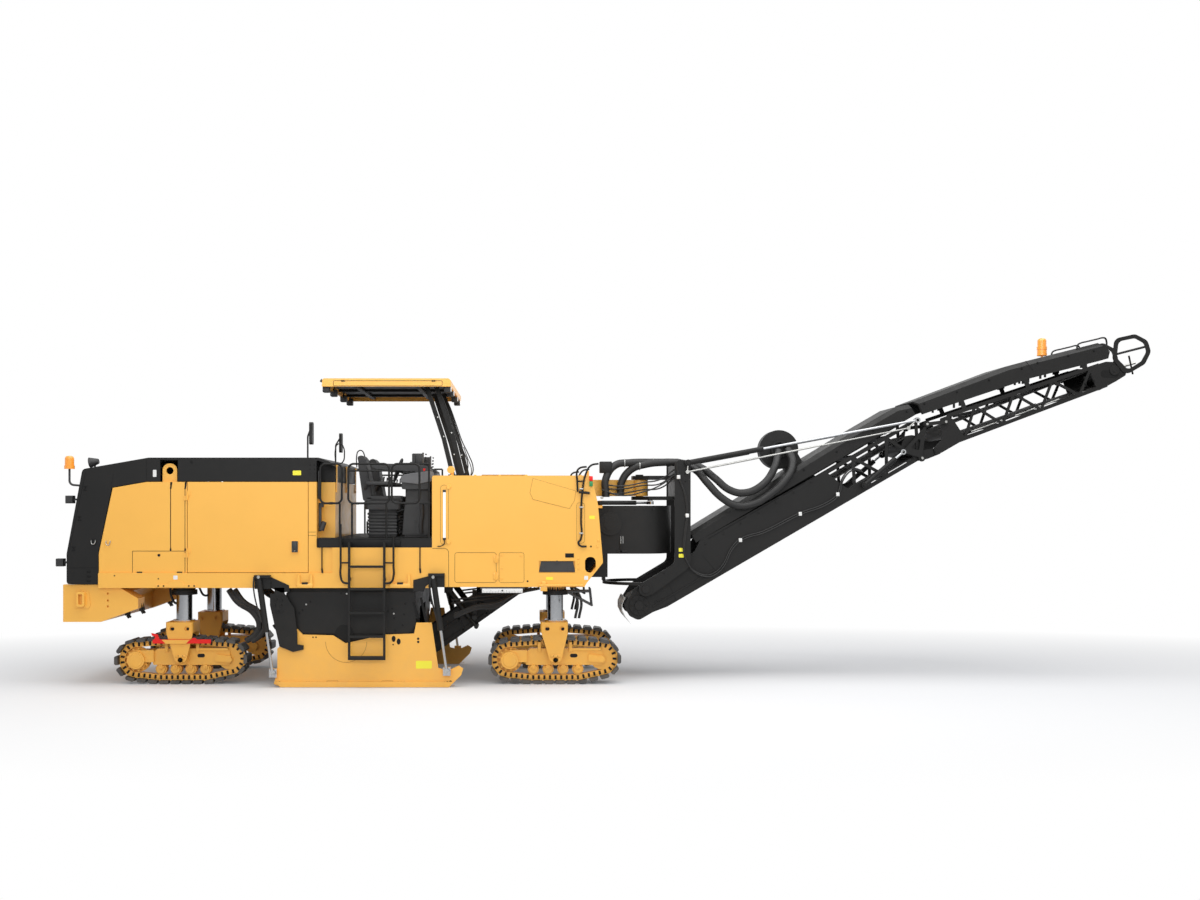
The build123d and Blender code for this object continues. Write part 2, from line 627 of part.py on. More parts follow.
def ladder():
    """Two stringers with rungs and upper hand loops, hung on the platform's edge."""
    y = (-BODY_HALF - 96, -BODY_HALF - 66)
    frame = block((LADDER_X[0] - 15, LADDER_X[0] + 15), y, (372, 1900))
    frame += block((LADDER_X[1] - 15, LADDER_X[1] + 15), y, (372, 1900))
    for rung_z in RUNG_Z:
        frame += block((LADDER_X[0], LADDER_X[1]), (y[0] - 20, y[1] + 20), (rung_z - 18, rung_z + 12))
    frame += block((LADDER_X[0], LADDER_X[1]), y, (372, 392))
    for px in LADDER_X:
        frame += block((px - 15, px + 15), (y[0], -BODY_HALF - FIT), (1860, 1900))
        frame += block((px - 15, px + 15), (y[0], -BODY_HALF - FIT), (1400, 1440))
    return frame


save("ladders", *both_sides(ladder()))

SEAT_AT = ((-3130.0, -620.0), (-3130.0, 620.0))


def seat(x, y):
    """Seat on its suspension box: cushion, back and head rest in outline."""
    cushion = block((x - 200, x + 290), (y - 245, y + 245), (2330, 2450))
    rest = [(x - 215, 2440), (x - 100, 2440), (x - 190, 2960), (x - 290, 2960)]
    back = side_prism(rest, (y - 235, y + 235), 40)
    base = block((x - 150, x + 220), (y - 170, y + 170), (DECK_TOP + FIT, 2330))
    return fillet(cushion.edges().filter_by(Axis.Z), 60) + back + base


save("seats", *[seat(x, y) for x, y in SEAT_AT])


def console(y):
    """Steering console: column, sloping desk and a small screen."""
    column = block((-2780, -2480), (y - 200, y + 200), (DECK_TOP + FIT, 2640))
    slope = [(-2820, 2600), (-2450, 2600), (-2450, 2880), (-2560, 2900), (-2820, 2700)]
    desk = side_prism(slope, (y - 300, y + 300), 20)
    screen = block((-2700, -2660), (y - 120, y + 120), (2900, 3080))
    stalk = block((-2690, -2670), (y - 20, y + 20), (2750, 2910))
    return column + desk + screen + stalk


save("consoles", *[console(y) for y in (-640, 640)])

ROOF_X = (-3845.0, -2150.0)
ROOF_HALF = 1200.0
ROOF_TOP = 4052.0
ROOF_IN = ROOF_TOP - 40.0  # underside of the roof panel
ROOF_LOW = 3945.0  # lower edge of the fascia
POST_Y = 760.0
POST_FOOT = (-2150.0, 2790.0)


def canopy_roof():
    """Level roof panel with a turned-down fascia all round."""
    outline = [
        (ROOF_X[0], ROOF_LOW), (ROOF_X[0] + 12, ROOF_TOP), (ROOF_X[1] - 30, ROOF_TOP),
        (ROOF_X[1], ROOF_TOP - 27), (ROOF_X[1], ROOF_LOW),
    ]
    roof = side_prism(outline, (-ROOF_HALF, ROOF_HALF), radius=[8, 30, 10, 10, 8])
    hollow = block(
        (ROOF_X[0] + 40, ROOF_X[1] - 30), (-ROOF_HALF + 40, ROOF_HALF - 40), (ROOF_LOW - 10, ROOF_IN)
    )
    return roof - hollow


save("canopy_roof", canopy_roof())


def canopy_post():
    """Pair of bent tubes from the front deck up to the roof."""
    tubes = []
    for shift in (0.0, 130.0):
        foot = (POST_FOOT[0] + shift, -POST_Y, POST_FOOT[1])
        knee = (POST_FOOT[0] + shift - 120, -POST_Y, 3280)
        head = (POST_FOOT[0] + shift - 370, -POST_Y, ROOF_IN + 30)
        path = FilletPolyline(foot, knee, head, radius=120)
        section = Plane(origin=path @ 0, z_dir=path % 0) * Rectangle(60, 60)
        tubes.append(sweep(section, path=path))
    return tubes


posts = canopy_post()
base = block((POST_FOOT[0] - 60, POST_FOOT[0] + 190), (-POST_Y - 50, -POST_Y + 50), (FRONT_TOP + FIT, 2800))
post = posts[0] + posts[1] + base
post -= block((-3000, -2000), (-POST_Y - 100, -POST_Y + 100), (ROOF_IN - FIT, ROOF_IN + 200))
save("canopy_posts", *both_sides(post))


# ---------------------------------------------------------------- front hood
FRONT_OUTLINE = [
    (DECK_FRONT, 1317), (DECK_FRONT, FRONT_TOP), (-299, FRONT_TOP), (-221, 2394),
    (NOSE_FRONT, 1635), (-364, 1375), (-400, 1317),
]


def swing_bracket(sign):
    """Lug on the hood's nose that holds a slewing cylinder's barrel."""
    px, py = SWING_BASE[0], sign * -SWING_BASE[1]
    top = SWING_Z - SWING_R - CLEAR
    lug = block((-240, px + 30), (py - 40, py + 40), (top - 36, top))
    return lug + bar((px, py, top - 10), (px, py, SWING_Z + 30), 18)


def front_hood():
    """Hood over the front legs, open below and forward for the conveyor."""
    outer = side_prism(FRONT_OUTLINE, (-BODY_HALF, BODY_HALF), radius=[0, 30, 60, 40, 50, 20, 10])
    inner = side_prism(
        [
            (DECK_FRONT - 50, 1200), (DECK_FRONT - 50, FRONT_TOP - SKIN), (-299 - SKIN, FRONT_TOP - SKIN),
            (-221 - SKIN, 2394), (NOSE_FRONT - SKIN, 1640), (-364 - SKIN, 1395), (-500, 1200),
        ],
        (-BODY_HALF + SKIN, BODY_HALF - SKIN),
    )
    mouth = block((-1000, 100), (-545, 545), (1200, NOSE_Z[1] + CLEAR))
    hood = outer - inner - mouth
    pocket = block((-992, -521), (-BODY_HALF - 1, -BODY_HALF + 25), (1504, 1658))
    window = [(-391, 1504), (-250, 1504), (-250, 1710), (-391, 1710)]
    slot = side_prism(window, (-BODY_HALF - 1, -BODY_HALF + SKIN + 1), 65)
    for cut in both_sides(pocket) + both_sides(slot):
        hood -= cut
    for sign in (-1, 1):
        hood += swing_bracket(sign)
    return hood


save("front_hood", front_hood())

# ---------------------------------------------------------------- cutter
HOUSING_TOP = FRAME_LOW - FIT
HOUSING_IN = MILL_WIDTH / 2 + DRUM_END_GAP
HOUSING_OUT = HOUSING_IN + HOUSING_WALL
DRUM_BORE_R = 300.0
HUB_DEPTH = 240.0


def cutter_housing():
    """Top, front and rear plates of the box over the drum, open below."""
    half = HOUSING_IN - FIT
    outer = block((HOUSING_REAR, HOUSING_FRONT), (-half, half), (HOUSING_LOW, HOUSING_TOP))
    shell = outer - block(
        (HOUSING_REAR + 20, HOUSING_FRONT - 20), (-half - 1, half + 1), (HOUSING_LOW - 10, HOUSING_TOP - 14)
    )
    shell -= block((HOUSING_FRONT - 30, HOUSING_FRONT + 30), (-460, 460), (HOUSING_LOW - 10, 1000))
    shell -= block((HOUSING_REAR - 30, HOUSING_REAR + 30), (-1060, 1060), (HOUSING_LOW - 10, 1150))
    return shell


def cutter_side_wall():
    """End wall of the box over the drum, with the hub that the drum turns on."""
    wall = block((HOUSING_REAR, HOUSING_FRONT), (-HOUSING_OUT, -HOUSING_IN), (HOUSING_LOW, HOUSING_TOP))
    return wall + disc(DRUM_X, DRUM_Z, (-HOUSING_IN - 1, -HOUSING_IN + HUB_DEPTH), DRUM_BORE_R - FIT)


PICKS_A_SIDE = 36
PICK_TURNS = 2.5


def cutter_drum():
    """Drum shell with pick holders on two helices that meet at the middle."""
    half = MILL_WIDTH / 2
    drum = disc(0, 0, (-half, half), DRUM_SHELL_R) - disc(0, 0, (-half - 1, half + 1), DRUM_BORE_R)
    holder = block((-45, 45), (-24, 24), (DRUM_SHELL_R - 12, DRUM_SHELL_R + 62))
    point = extrude(Plane.XY.offset(0) * Rectangle(34, 34), amount=95, taper=9)
    tip = Pos(25, 0, DRUM_SHELL_R + 32) * Rot(0, 28, 0) * point
    pick = holder + tip
    teeth = []
    for index in range(PICKS_A_SIDE):
        share = (index + 0.5) / PICKS_A_SIDE
        for sign in (-1, 1):
            across = sign * (half - 30) * (1 - share)
            turn = 360 * PICK_TURNS * share + (180 if sign > 0 else 0)
            teeth.append(Pos(0, across, 0) * Rot(0, turn, 0) * pick)
    return Pos(DRUM_X, 0, DRUM_Z) * drum.fuse(*teeth)


save("cutter_drum", cutter_drum())

moldboard = block((HOUSING_REAR - 32, HOUSING_REAR - FIT), (-HOUSING_IN, HOUSING_IN), (90, 1200))
for rib_y in (-900, -450, 0, 450, 900):
    moldboard += block((HOUSING_REAR - 110, HOUSING_REAR - 30), (rib_y - 12, rib_y + 12), (200, 1150))
moldboard += block((HOUSING_REAR - 60, HOUSING_REAR - 30), (-HOUSING_IN, HOUSING_IN), (60, 140))
save("moldboard", moldboard)

PLATE_Y = (-BODY_HALF + 35, -BODY_HALF + 65)
CYL_Y = -BODY_HALF - 50
CYL_LOW = ((-4469.0, 196.0), (-2198.0, 219.0))
CYL_RISE = Vector(-178.0, 0, 1239.0).normalized()
CYL_LENGTH = 1250.0
BARREL_LENGTH = 710.0
BARREL_R = 38.0
ROD_R = 19.0
PLATE_OUTLINE = [
    (-4470, 45), (-4380, 4), (-2170, 4), (-2012, 160), (-1986, 245), (-2045, 284),
    (-2183, 219), (-2313, 253), (-2400, 847), (-2601, 847), (-2630, 703), (-3007, 690),
    (-3530, 576), (-3693, 680), (-4092, 690), (-4163, 764), (-4423, 506), (-4423, 205),
]


def along(base, distance):
    """Point on a side cylinder's line, a distance above its lower pin."""
    return (base[0] + CYL_RISE.X * distance, CYL_Y, base[1] + CYL_RISE.Z * distance)


def side_plate():
    """Sliding side plate with its skid and the two rod eyes' lugs."""
    plate = side_prism(PLATE_OUTLINE, PLATE_Y)
    skid = side_prism([(-4380, 4), (-2170, 4), (-2100, 75), (-4440, 75)], (PLATE_Y[0] - 25, PLATE_Y[1] + 12))
    lugs = []
    for px, pz in CYL_LOW:
        lug = block((px - 50, px + 50), (CYL_Y + 24, PLATE_Y[0] + 5), (pz - 60, pz + 50))
        lugs.append(lug + disc(px, pz, (CYL_Y - 24, PLATE_Y[0]), 18))
    return plate + skid + lugs[0] + lugs[1]


def rods():
    """Rods of one plate's two cylinders, each with its eye."""
    out = []
    for base in CYL_LOW:
        rod = bar(along(base, 30), along(base, BARREL_LENGTH + 20), ROD_R)
        eye = disc(*base, (CYL_Y - 20, CYL_Y + 20), 36) - disc(*base, (CYL_Y - 30, CYL_Y + 30), 18 + FIT)
        out.append(rod + eye)
    return out


def barrels():
    """Barrels of one side's two cylinders with their upper brackets."""
    out = []
    for base in CYL_LOW:
        low = along(base, CYL_LENGTH - BARREL_LENGTH)
        high = along(base, CYL_LENGTH)
        tube = pipe(low, high, BARREL_R, ROD_R + FIT)
        cap = bar(along(base, CYL_LENGTH - 10), along(base, CYL_LENGTH + 25), BARREL_R)
        shelf_y = (CYL_Y - 30, -BODY_HALF - FIT)
        bracket = block((high[0] - 60, high[0] + 150), shelf_y, (high[2] + 5, high[2] + 40))
        cheek_y = (-BODY_HALF - 30, -BODY_HALF - FIT)
        cheek = block((high[0] - 60, high[0] + 150), cheek_y, (high[2] - 140, high[2] + 10))
        out.append(tube + cap + bracket + cheek)
    return out


def plate_guide():
    """Black guide arms and cover fixed to the housing outside the drum."""
    cover = side_prism(
        [(-4314, 1250), (-4314, 1000), (-4200, 700), (-2700, 700), (-2614, 800), (-2614, 1250)],
        (PLATE_Y[1] + CLEAR, -HOUSING_OUT - FIT), 30,
    )
    return cover


save("cutter_housing", cutter_housing())
save("cutter_side_walls", *both_sides(cutter_side_wall()), *both_sides(plate_guide()))
save("side_plate_right", side_plate(), rods())
save("side_plate_left", *[mirror(piece, about=Plane.XZ) for piece in [side_plate()] + rods()])
save("plate_barrels", *[side for tube in barrels() for side in both_sides(tube)])


# ---------------------------------------------------------------- collecting conveyor
COLLECT_TAIL = (-2470.0, 520.0)
COLLECT_HEAD = (-95.0, 2190.0)
COLLECT_HALF = 415.0
COLLECT_DEEP = 170.0


def belt_loop(length, radius, half, thick=12.0):
    """Endless belt round two drums on the local X axis, the first at the origin."""
    outer = Pos(length / 2, 0) * SlotCenterToCenter(length, 2 * (radius + thick))
    inner = Pos(length / 2, 0) * SlotCenterToCenter(length, 2 * radius)
    upright = Rot(90, 0, 0) * (outer - inner)
    return extrude(Pos(0, half, 0) * upright, amount=2 * half, dir=(0, -1, 0))


def collecting_conveyor():
    """Channel frame from the cutter up to the hopper, with its two drums."""
    run = Vector(COLLECT_HEAD[0] - COLLECT_TAIL[0], 0, COLLECT_HEAD[1] - COLLECT_TAIL[1])
    rise = degrees(atan2(run.Z, run.X))
    seat = Pos(COLLECT_TAIL[0], 0, COLLECT_TAIL[1]) * Rot(0, -rise, 0)
    outline = [
        (-90, -COLLECT_DEEP), (run.length + 60, -COLLECT_DEEP), (run.length + 120, 40),
        (run.length + 40, COLLECT_DEEP), (-90, COLLECT_DEEP),
    ]
    side = side_prism(outline, (-COLLECT_HALF, -COLLECT_HALF + 16), 30)
    frame = side + mirror(side, about=Plane.XZ)
    for index in range(6):
        px = 200 + index * (run.length - 400) / 5
        frame += block((px - 30, px + 30), (-COLLECT_HALF, COLLECT_HALF), (-COLLECT_DEEP, -COLLECT_DEEP + 12))
    pin = disc(1900, 0, (-SPINE_IN + FIT, -COLLECT_HALF + 5), 40)
    frame += pin + mirror(pin, about=Plane.XZ)
    for px, radius in ((0, 110), (run.length, 110)):
        frame += disc(px, 0, (-COLLECT_HALF + 10, COLLECT_HALF - 10), radius - FIT)
    belt = belt_loop(run.length, 110, COLLECT_HALF - 30)
    return [seat * frame], [seat * belt]


frame, belt = collecting_conveyor()
save("collecting_conveyor", frame)
save("collecting_belt", belt)

# ---------------------------------------------------------------- slewing frame
HOPPER_R = 440.0
HOPPER_TOP = 2380.0
HOPPER_SKIRT = 1720.0
FORK_LOW = (NOSE_Z[0] - CLEAR - 50, NOSE_Z[0] - CLEAR)
FORK_HIGH = (NOSE_Z[1] + CLEAR, NOSE_Z[1] + CLEAR + 50)
MAST_Y = (480.0, 520.0)
RING_Z = (1290.0, 1330.0)
RING_R = (470.0, 520.0)


def transfer_hood():
    """Fixed hopper between the two conveyors, round on the slewing axis."""
    drum = bar((SLEW_X, 0, HOPPER_SKIRT), (SLEW_X, 0, HOPPER_TOP), HOPPER_R)
    drum += block((-340, SLEW_X), (-HOPPER_R, HOPPER_R), (HOPPER_SKIRT, HOPPER_TOP))
    drum += block((-340, -45), (-HOPPER_R, HOPPER_R), (1400, HOPPER_SKIRT + 10))
    hollow = bar((SLEW_X, 0, HOPPER_SKIRT - 1), (SLEW_X, 0, HOPPER_TOP - 12), HOPPER_R - 12)
    hollow += block((-400, SLEW_X), (-HOPPER_R + 12, HOPPER_R - 12), (HOPPER_SKIRT - 1, HOPPER_TOP - 12))
    hollow += block((-400, -57), (-HOPPER_R + 12, HOPPER_R - 12), (1300, HOPPER_SKIRT + 1))
    hollow -= block((-345, -45), (-70, 70), (1400, 1412))
    shell = drum - hollow
    flange = block((-420 + FIT, -340), (HOPPER_R - 12, 620), (1500, 2200))
    pad = block((-95, -57), (-150, 150), (RING_Z[1] + FIT, 1500))
    return shell + flange + mirror(flange, about=Plane.XZ) + pad


save("transfer_hood", transfer_hood())

MAST_PIN = (1044.0, 2966.0)
STAY_Y = 565.0


def slew_frame():
    """Two curved arms tied by a web, a half ring and the fork on the nose's pin."""
    outline = [
        (866, 2960), (930, 3010), (1085, 2985), (1085, 1545), (560, 1165), (400, 1150),
        (400, 1310), (866, 1590),
    ]
    arm = side_prism(outline, (-MAST_Y[1], -MAST_Y[0]), radius=[20, 30, 30, 190, 40, 40, 40, 110])
    boss = disc(*LIFT_AT, (-MAST_Y[1] - 15, -MAST_Y[0]), 95)
    arm += boss
    arm += disc(*MAST_PIN, (-STAY_Y - 45, -MAST_Y[0]), 22)
    arm += disc(*LIFT_AT, (-MAST_Y[0] - 5, -BOOM_HALF + 30), 45)
    frame = arm + mirror(arm, about=Plane.XZ)
    frame += block((880, 905), (-MAST_Y[0] - 5, MAST_Y[0] + 5), (FORK_LOW[0], 2940))
    for z_pair in (FORK_LOW, FORK_HIGH):
        frame += plan_prism(
            [
                (SLEW_X - 110, -110), (SLEW_X + 110, -250), (890, -250), (890, 250),
                (SLEW_X + 110, 250), (SLEW_X - 110, 110),
            ],
            z_pair, radius=[60, 30, 0, 0, 30, 60],
        )
    frame += bar((SLEW_X, 0, FORK_LOW[0] + 5), (SLEW_X, 0, FORK_HIGH[1] + 20), NOSE_PIN_R)
    ring = bar((SLEW_X, 0, RING_Z[0]), (SLEW_X, 0, RING_Z[1]), RING_R[1])
    ring -= bar((SLEW_X, 0, RING_Z[0] - 1), (SLEW_X, 0, RING_Z[1] + 1), RING_R[0])
    ring -= block((SLEW_X + 20, 1200), (-700, 700), (RING_Z[0] - 5, RING_Z[1] + 5))
    frame += ring
    for sign in (-1, 1):
        pin = (SWING_PIN[0], sign * SWING_PIN[1])
        frame += bar((*pin, SWING_Z + EYE_HALF + CLEAR), (*pin, FORK_LOW[0] + 5), 18)
    return frame


save("slew_frame", slew_frame())

SWING_BARREL = 560.0
SWING_STROKE = 217.0  # either way from rest


def swing_cylinder(sign):
    """Barrel and rod of one slewing cylinder, between its two upright pins."""
    base = Vector(SWING_BASE[0], sign * -SWING_BASE[1], SWING_Z)
    pin = Vector(SWING_PIN[0], sign * -SWING_PIN[1], SWING_Z)
    way = (pin - base).normalized()
    barrel = pipe(tuple(base + way * 45), tuple(base + way * SWING_BARREL), SWING_R, 16 + FIT)
    barrel += bar(tuple(base + way * 20), tuple(base + way * 50), SWING_R)
    seat = SWING_R + CLEAR - FIT
    eye = bar(tuple(base - Vector(0, 0, seat)), tuple(base + Vector(0, 0, 24)), 34)
    barrel += eye
    barrel -= bar(tuple(base - Vector(0, 0, 40)), tuple(base + Vector(0, 0, 40)), 18 + FIT)
    rod = bar(tuple(base + way * (50 + CLEAR + SWING_STROKE)), tuple(pin - way * 25), 16)
    rod += bar(tuple(pin - Vector(0, 0, EYE_HALF)), tuple(pin + Vector(0, 0, EYE_HALF)), 32)
    rod -= bar(tuple(pin - Vector(0, 0, 40)), tuple(pin + Vector(0, 0, 40)), 18 + FIT)
    return barrel, rod


for side, sign in (("right", -1), ("left", 1)):
    barrel, rod = swing_cylinder(sign)
    save(f"swing_barrel_{side}", barrel)
    save(f"swing_rod_{side}", rod)


# ---------------------------------------------------------------- lower boom
# Drawn lying level: X runs along the boom from the tail drum's centre, Z across it.
AT_BOOM = Pos(TAIL_AT[0], 0, TAIL_AT[1]) * Rot(0, -BOOM_ANGLE, 0)
AT_UPPER = Pos(FOLD_AT[0], 0, FOLD_AT[1]) * Rot(0, -UPPER_ANGLE, 0)


def to_boom(x, z):
    """Level boom coordinates of a point of the machine."""
    dx, dz = x - TAIL_AT[0], z - TAIL_AT[1]
    turn = radians(BOOM_ANGLE)
    return dx * cos(turn) + dz * sin(turn), dz * cos(turn) - dx * sin(turn)


def to_upper(x, z):
    """Level upper-boom coordinates of a point of the machine."""
    dx, dz = x - FOLD_AT[0], z - FOLD_AT[1]
    turn = radians(UPPER_ANGLE)
    return dx * cos(turn) + dz * sin(turn), dz * cos(turn) - dx * sin(turn)


BOOM_LOW = -212.0
BOOM_HIGH = 350.0
CHORD = 55.0
FOLD_IN_BOOM = to_boom(*FOLD_AT)
LIFT_IN_BOOM = to_boom(*LIFT_AT)
BOOM_Y = (-BOOM_HALF - BOOM_WALL, -BOOM_HALF)
PANEL_END = 3230.0
CRANK_AT = (4362.0, -203.0)
CRANK_EYE = (4167.0, 6.0)
CRANK_TOP = (4656.0, 165.0)
FOLD_EYE = (3483.0, -120.0)
STAY_AT = (4545.0, 287.0)
BELT_R = 140.0
PIN_R = 20.0


def strut(start, end, deep, y):
    """Flat bar between two points of a side frame."""
    run = hypot(end[0] - start[0], end[1] - start[1])
    lean = degrees(atan2(end[1] - start[1], end[0] - start[0]))
    flat = block((0, run), y, (-deep / 2, deep / 2))
    return Pos(start[0], 0, start[1]) * Rot(0, -lean, 0) * flat


def boom_side():
    """Panelled side of the lower boom, with its open end frame towards the fold."""
    panel = side_prism(
        [
            (-185, -60), (-110, -178), (120, -178), (330, BOOM_LOW),
            (PANEL_END + 130, BOOM_LOW), (PANEL_END, 60),
            (PANEL_END - 90, BOOM_HIGH - 40), (1180, BOOM_HIGH), (1030, 250), (60, 230),
            (-150, 120), (-185, 60),
        ],
        BOOM_Y, radius=[60, 90, 30, 10, 20, 60, 60, 60, 60, 60, 40, 40],
    )
    low = block((PANEL_END, 4500), BOOM_Y, (BOOM_LOW, BOOM_LOW + CHORD))
    high = block((PANEL_END - 100, 4600), BOOM_Y, (BOOM_HIGH - 95, BOOM_HIGH - 40))
    side = panel + low + high
    nodes = [(3330, -185), (3560, 275), (3830, -185), (4090, 275), (4330, -185), (4560, 275)]
    for here, there in zip(nodes, nodes[1:]):
        side += strut(here, there, 42, BOOM_Y)
    tongue = side_prism(
        [
            (4300, BOOM_LOW), (4440, BOOM_LOW - 45), (FOLD_IN_BOOM[0] + 40, -285),
            (FOLD_IN_BOOM[0] + 55, -200), (4400, -100), (4300, -120),
        ],
        BOOM_Y, 20,
    )
    side += tongue
    foot = [(3200, BOOM_LOW), (3640, BOOM_LOW), (3560, -80), (3440, -60), (3200, -60)]
    side += side_prism(foot, BOOM_Y, 20)
    side += disc(*CRANK_AT, (-BOOM_HALF - 64, -BOOM_HALF), PIN_R)
    side += disc(*FOLD_IN_BOOM, (-BOOM_HALF - 52, -BOOM_HALF), 24)
    side += disc(*FOLD_EYE, (-575, -BOOM_HALF), PIN_R)
    side += disc(*STAY_AT, (-STAY_Y + EYE_HALF + CLEAR, -BOOM_HALF), PIN_R)
    side -= disc(*LIFT_IN_BOOM, (-600, 0), 45 + FIT)
    return side


def lower_boom():
    """Both sides with their cross members and drums."""
    side = boom_side()
    frame = side + mirror(side, about=Plane.XZ)
    for px in (500, 1100, 1700, 2300, 2900, 3330, 3830, 4330):
        frame += block((px - 30, px + 30), (-BOOM_HALF - 5, BOOM_HALF + 5), (BOOM_LOW, BOOM_LOW + 40))
    for px in (3560, 4090):
        frame += block((px - 25, px + 25), (-BOOM_HALF - 5, BOOM_HALF + 5), (BOOM_HIGH - 90, BOOM_HIGH - 45))
    frame += disc(0, 0, (-BOOM_HALF - 5, BOOM_HALF + 5), 60)
    frame += disc(0, 0, (-BOOM_HALF + 20, BOOM_HALF - 20), BELT_R - FIT)
    frame += disc(4350, 0, (-BOOM_HALF - 5, BOOM_HALF + 5), 50)
    frame += disc(4350, 0, (-BOOM_HALF + 20, BOOM_HALF - 20), BELT_R - FIT)
    return frame


save("lower_boom", AT_BOOM * lower_boom())
save("lower_belt", AT_BOOM * belt_loop(4350, BELT_R, BOOM_HALF - 30))


BOOM_COVER = [
    # along and across the boom, from the cover's lower tail corner
    (1113, BOOM_HIGH + FIT), (1113, 517), (3738, 578), (4430, 578), (4600, 520), (4600, BOOM_HIGH + FIT),
]


def lower_cover():
    """Hooded cover over the lower belt."""
    half = BOOM_HALF + BOOM_WALL
    outer = side_prism(BOOM_COVER, (-half, half))
    edges = outer.edges().filter_by(lambda edge: edge.center().Z > 480 and abs(edge.center().Y) > half - 1)
    outer = chamfer(edges, 60)
    hollow = [(1000, 300), (1000, 497), (3738, 558), (4420, 558), (4700, 460), (4700, 300)]
    inner = side_prism(hollow, (-half + 16, half - 16))
    edges = inner.edges().filter_by(lambda edge: edge.center().Z > 450 and abs(edge.center().Y) > half - 17)
    return outer - chamfer(edges, 54)


save("lower_cover", AT_BOOM * lower_cover())

FAN_AT = (2805.0, 860.0)


def suction_fan():
    """Dust fan on the boom's cover, with its scroll housing and inlet."""
    scroll = disc(*FAN_AT, (-95, 95), 272)
    scroll += block((FAN_AT[0] - 60, FAN_AT[0] + 200), (-90, 90), (545, 760))
    scroll += disc(*FAN_AT, (-150, -90), 120)
    return scroll - disc(*FAN_AT, (-160, -60), 96) - lower_cover()


save("suction_fan", AT_BOOM * suction_fan())

# ---------------------------------------------------------------- folding boom
UPPER_Y = (-BOOM_HALF - 46, -BOOM_HALF - 26)
CRANK_Y = (-484.0, -472.0)
LINK_Y = (-500.0, -488.0)
FOLD_CYL_Y = -535.0
UPPER_LENGTH = 2656.0
HEAD_AT = (UPPER_LENGTH, 165.0)
LINK_PIN = to_upper(4584.0, 3529.0)
UPPER_CHORD = ((300, 400), (2471, 320))  # ends of the folding boom's upper chord


def upper_side():
    """Truss side of the folding boom with its hinge plate and head plate."""
    low = block((100, 2500), UPPER_Y, (0, 50))
    hinge = side_prism(
        [
            (-40, -45), (60, -45), (330, 0), (700, 0), (700, 50), (420, 60),
            (360, 330), (300, 400), (200, 400), (170, 300), (120, 120), (-30, 45),
        ],
        UPPER_Y, 18,
    )
    high = strut(*UPPER_CHORD, 50, UPPER_Y)
    side = low + hinge + high
    nodes = [(420, 25), (700, 385), (980, 25), (1260, 365), (1540, 25), (1820, 345), (2100, 25), (2380, 325)]
    for here, there in zip(nodes, nodes[1:]):
        side += strut(here, there, 36, UPPER_Y)
    head = side_prism(
        [(2350, -10), (2640, 30), (2790, 60), (2830, 160), (2790, 250), (2600, 330), (2350, 345)], UPPER_Y, 30
    )
    side += head
    side -= disc(0, 0, (-600, 0), 24 + FIT)
    side += disc(*LINK_PIN, (LINK_Y[1] + CLEAR, UPPER_Y[1]), PIN_R)
    return side


def upper_boom():
    """Both truss sides with cross members and the head drum."""
    side = upper_side()
    frame = side + mirror(side, about=Plane.XZ)
    span = (UPPER_Y[1] - 5, -UPPER_Y[1] + 5)
    for px in (420, 980, 1540, 2100):
        frame += block((px - 22, px + 22), span, (2, 42))
    for px in (700, 1260, 1820):
        frame += block((px - 22, px + 22), span, (300, 335))
    frame += disc(*HEAD_AT, (UPPER_Y[0] + 5, -UPPER_Y[0] - 5), 40)
    frame += disc(*HEAD_AT, (-BOOM_HALF + 10, BOOM_HALF - 10), 118 - FIT)
    frame += disc(240, 190, (-BOOM_HALF + 10, BOOM_HALF - 10), 80 - FIT)
    frame += disc(240, 190, span, 40)
    return frame


save("upper_boom", AT_UPPER * upper_boom())


def upper_belt():
    """Belt over the folding boom's two drums."""
    tail = (240.0, 190.0, 80.0)
    head = (*HEAD_AT, 118.0)

    def hull(grow):
        rims = [Pos(px, pz) * Edge.make_circle(radius + grow) for px, pz, radius in (tail, head)]
        return make_hull(rims)

    upright = Rot(90, 0, 0) * (hull(12) - hull(0))
    half = BOOM_HALF - 30
    return extrude(Pos(0, half, 0) * upright, amount=2 * half, dir=(0, -1, 0))


save("upper_belt", AT_UPPER * upper_belt())

UPPER_COVER = [
    # along and across the folding boom, from the cover's lower tail corner
    (-60, 540), (-60, 750), (1310, 750), (1590, 722), (2610, 608), (2700, 440), (2646, 360),
    (2500, 372), (1565, 480),
]


def upper_cover():
    """Cover over the upper belt, tapering to the head."""
    half = -UPPER_Y[0]
    outer = side_prism(UPPER_COVER, (-half, half))
    edges = outer.edges().filter_by(lambda edge: edge.center().Z > 560 and abs(edge.center().Y) > half - 1)
    outer = chamfer(edges, 60)
    inner = side_prism(
        [(-100, 300), (-100, 732), (1308, 732), (1588, 704), (2596, 592), (2680, 440), (2640, 300)],
        (-half + 16, half - 16),
    )
    edges = inner.edges().filter_by(lambda edge: edge.center().Z > 500 and abs(edge.center().Y) > half - 17)
    cover = outer - chamfer(edges, 54)
    for px in (560, 1480, 2300):
        foot = block((px - 30, px + 30), (-half, -half + 16), (340, 560))
        foot -= strut(*UPPER_CHORD, 50 + 2 * FIT, UPPER_Y)
        foot -= block((px - 31, px + 31), (-half - 1, 0), (300, 350))
        cover += foot.solids().sort_by(Axis.Z)[-1]
        cover += mirror(foot.solids().sort_by(Axis.Z)[-1], about=Plane.XZ)
    return cover


save("upper_cover", AT_UPPER * upper_cover())


GUARD_RIM = [(2690, 330), (2815, 585), (3100, 545), (3229, 401), (3219, 240), (3080, 110), (2780, 60)]
GUARD_HOLE = [(2752, 330), (2852, 528), (3078, 492), (3170, 385), (3162, 262), (3050, 165), (2830, 118)]


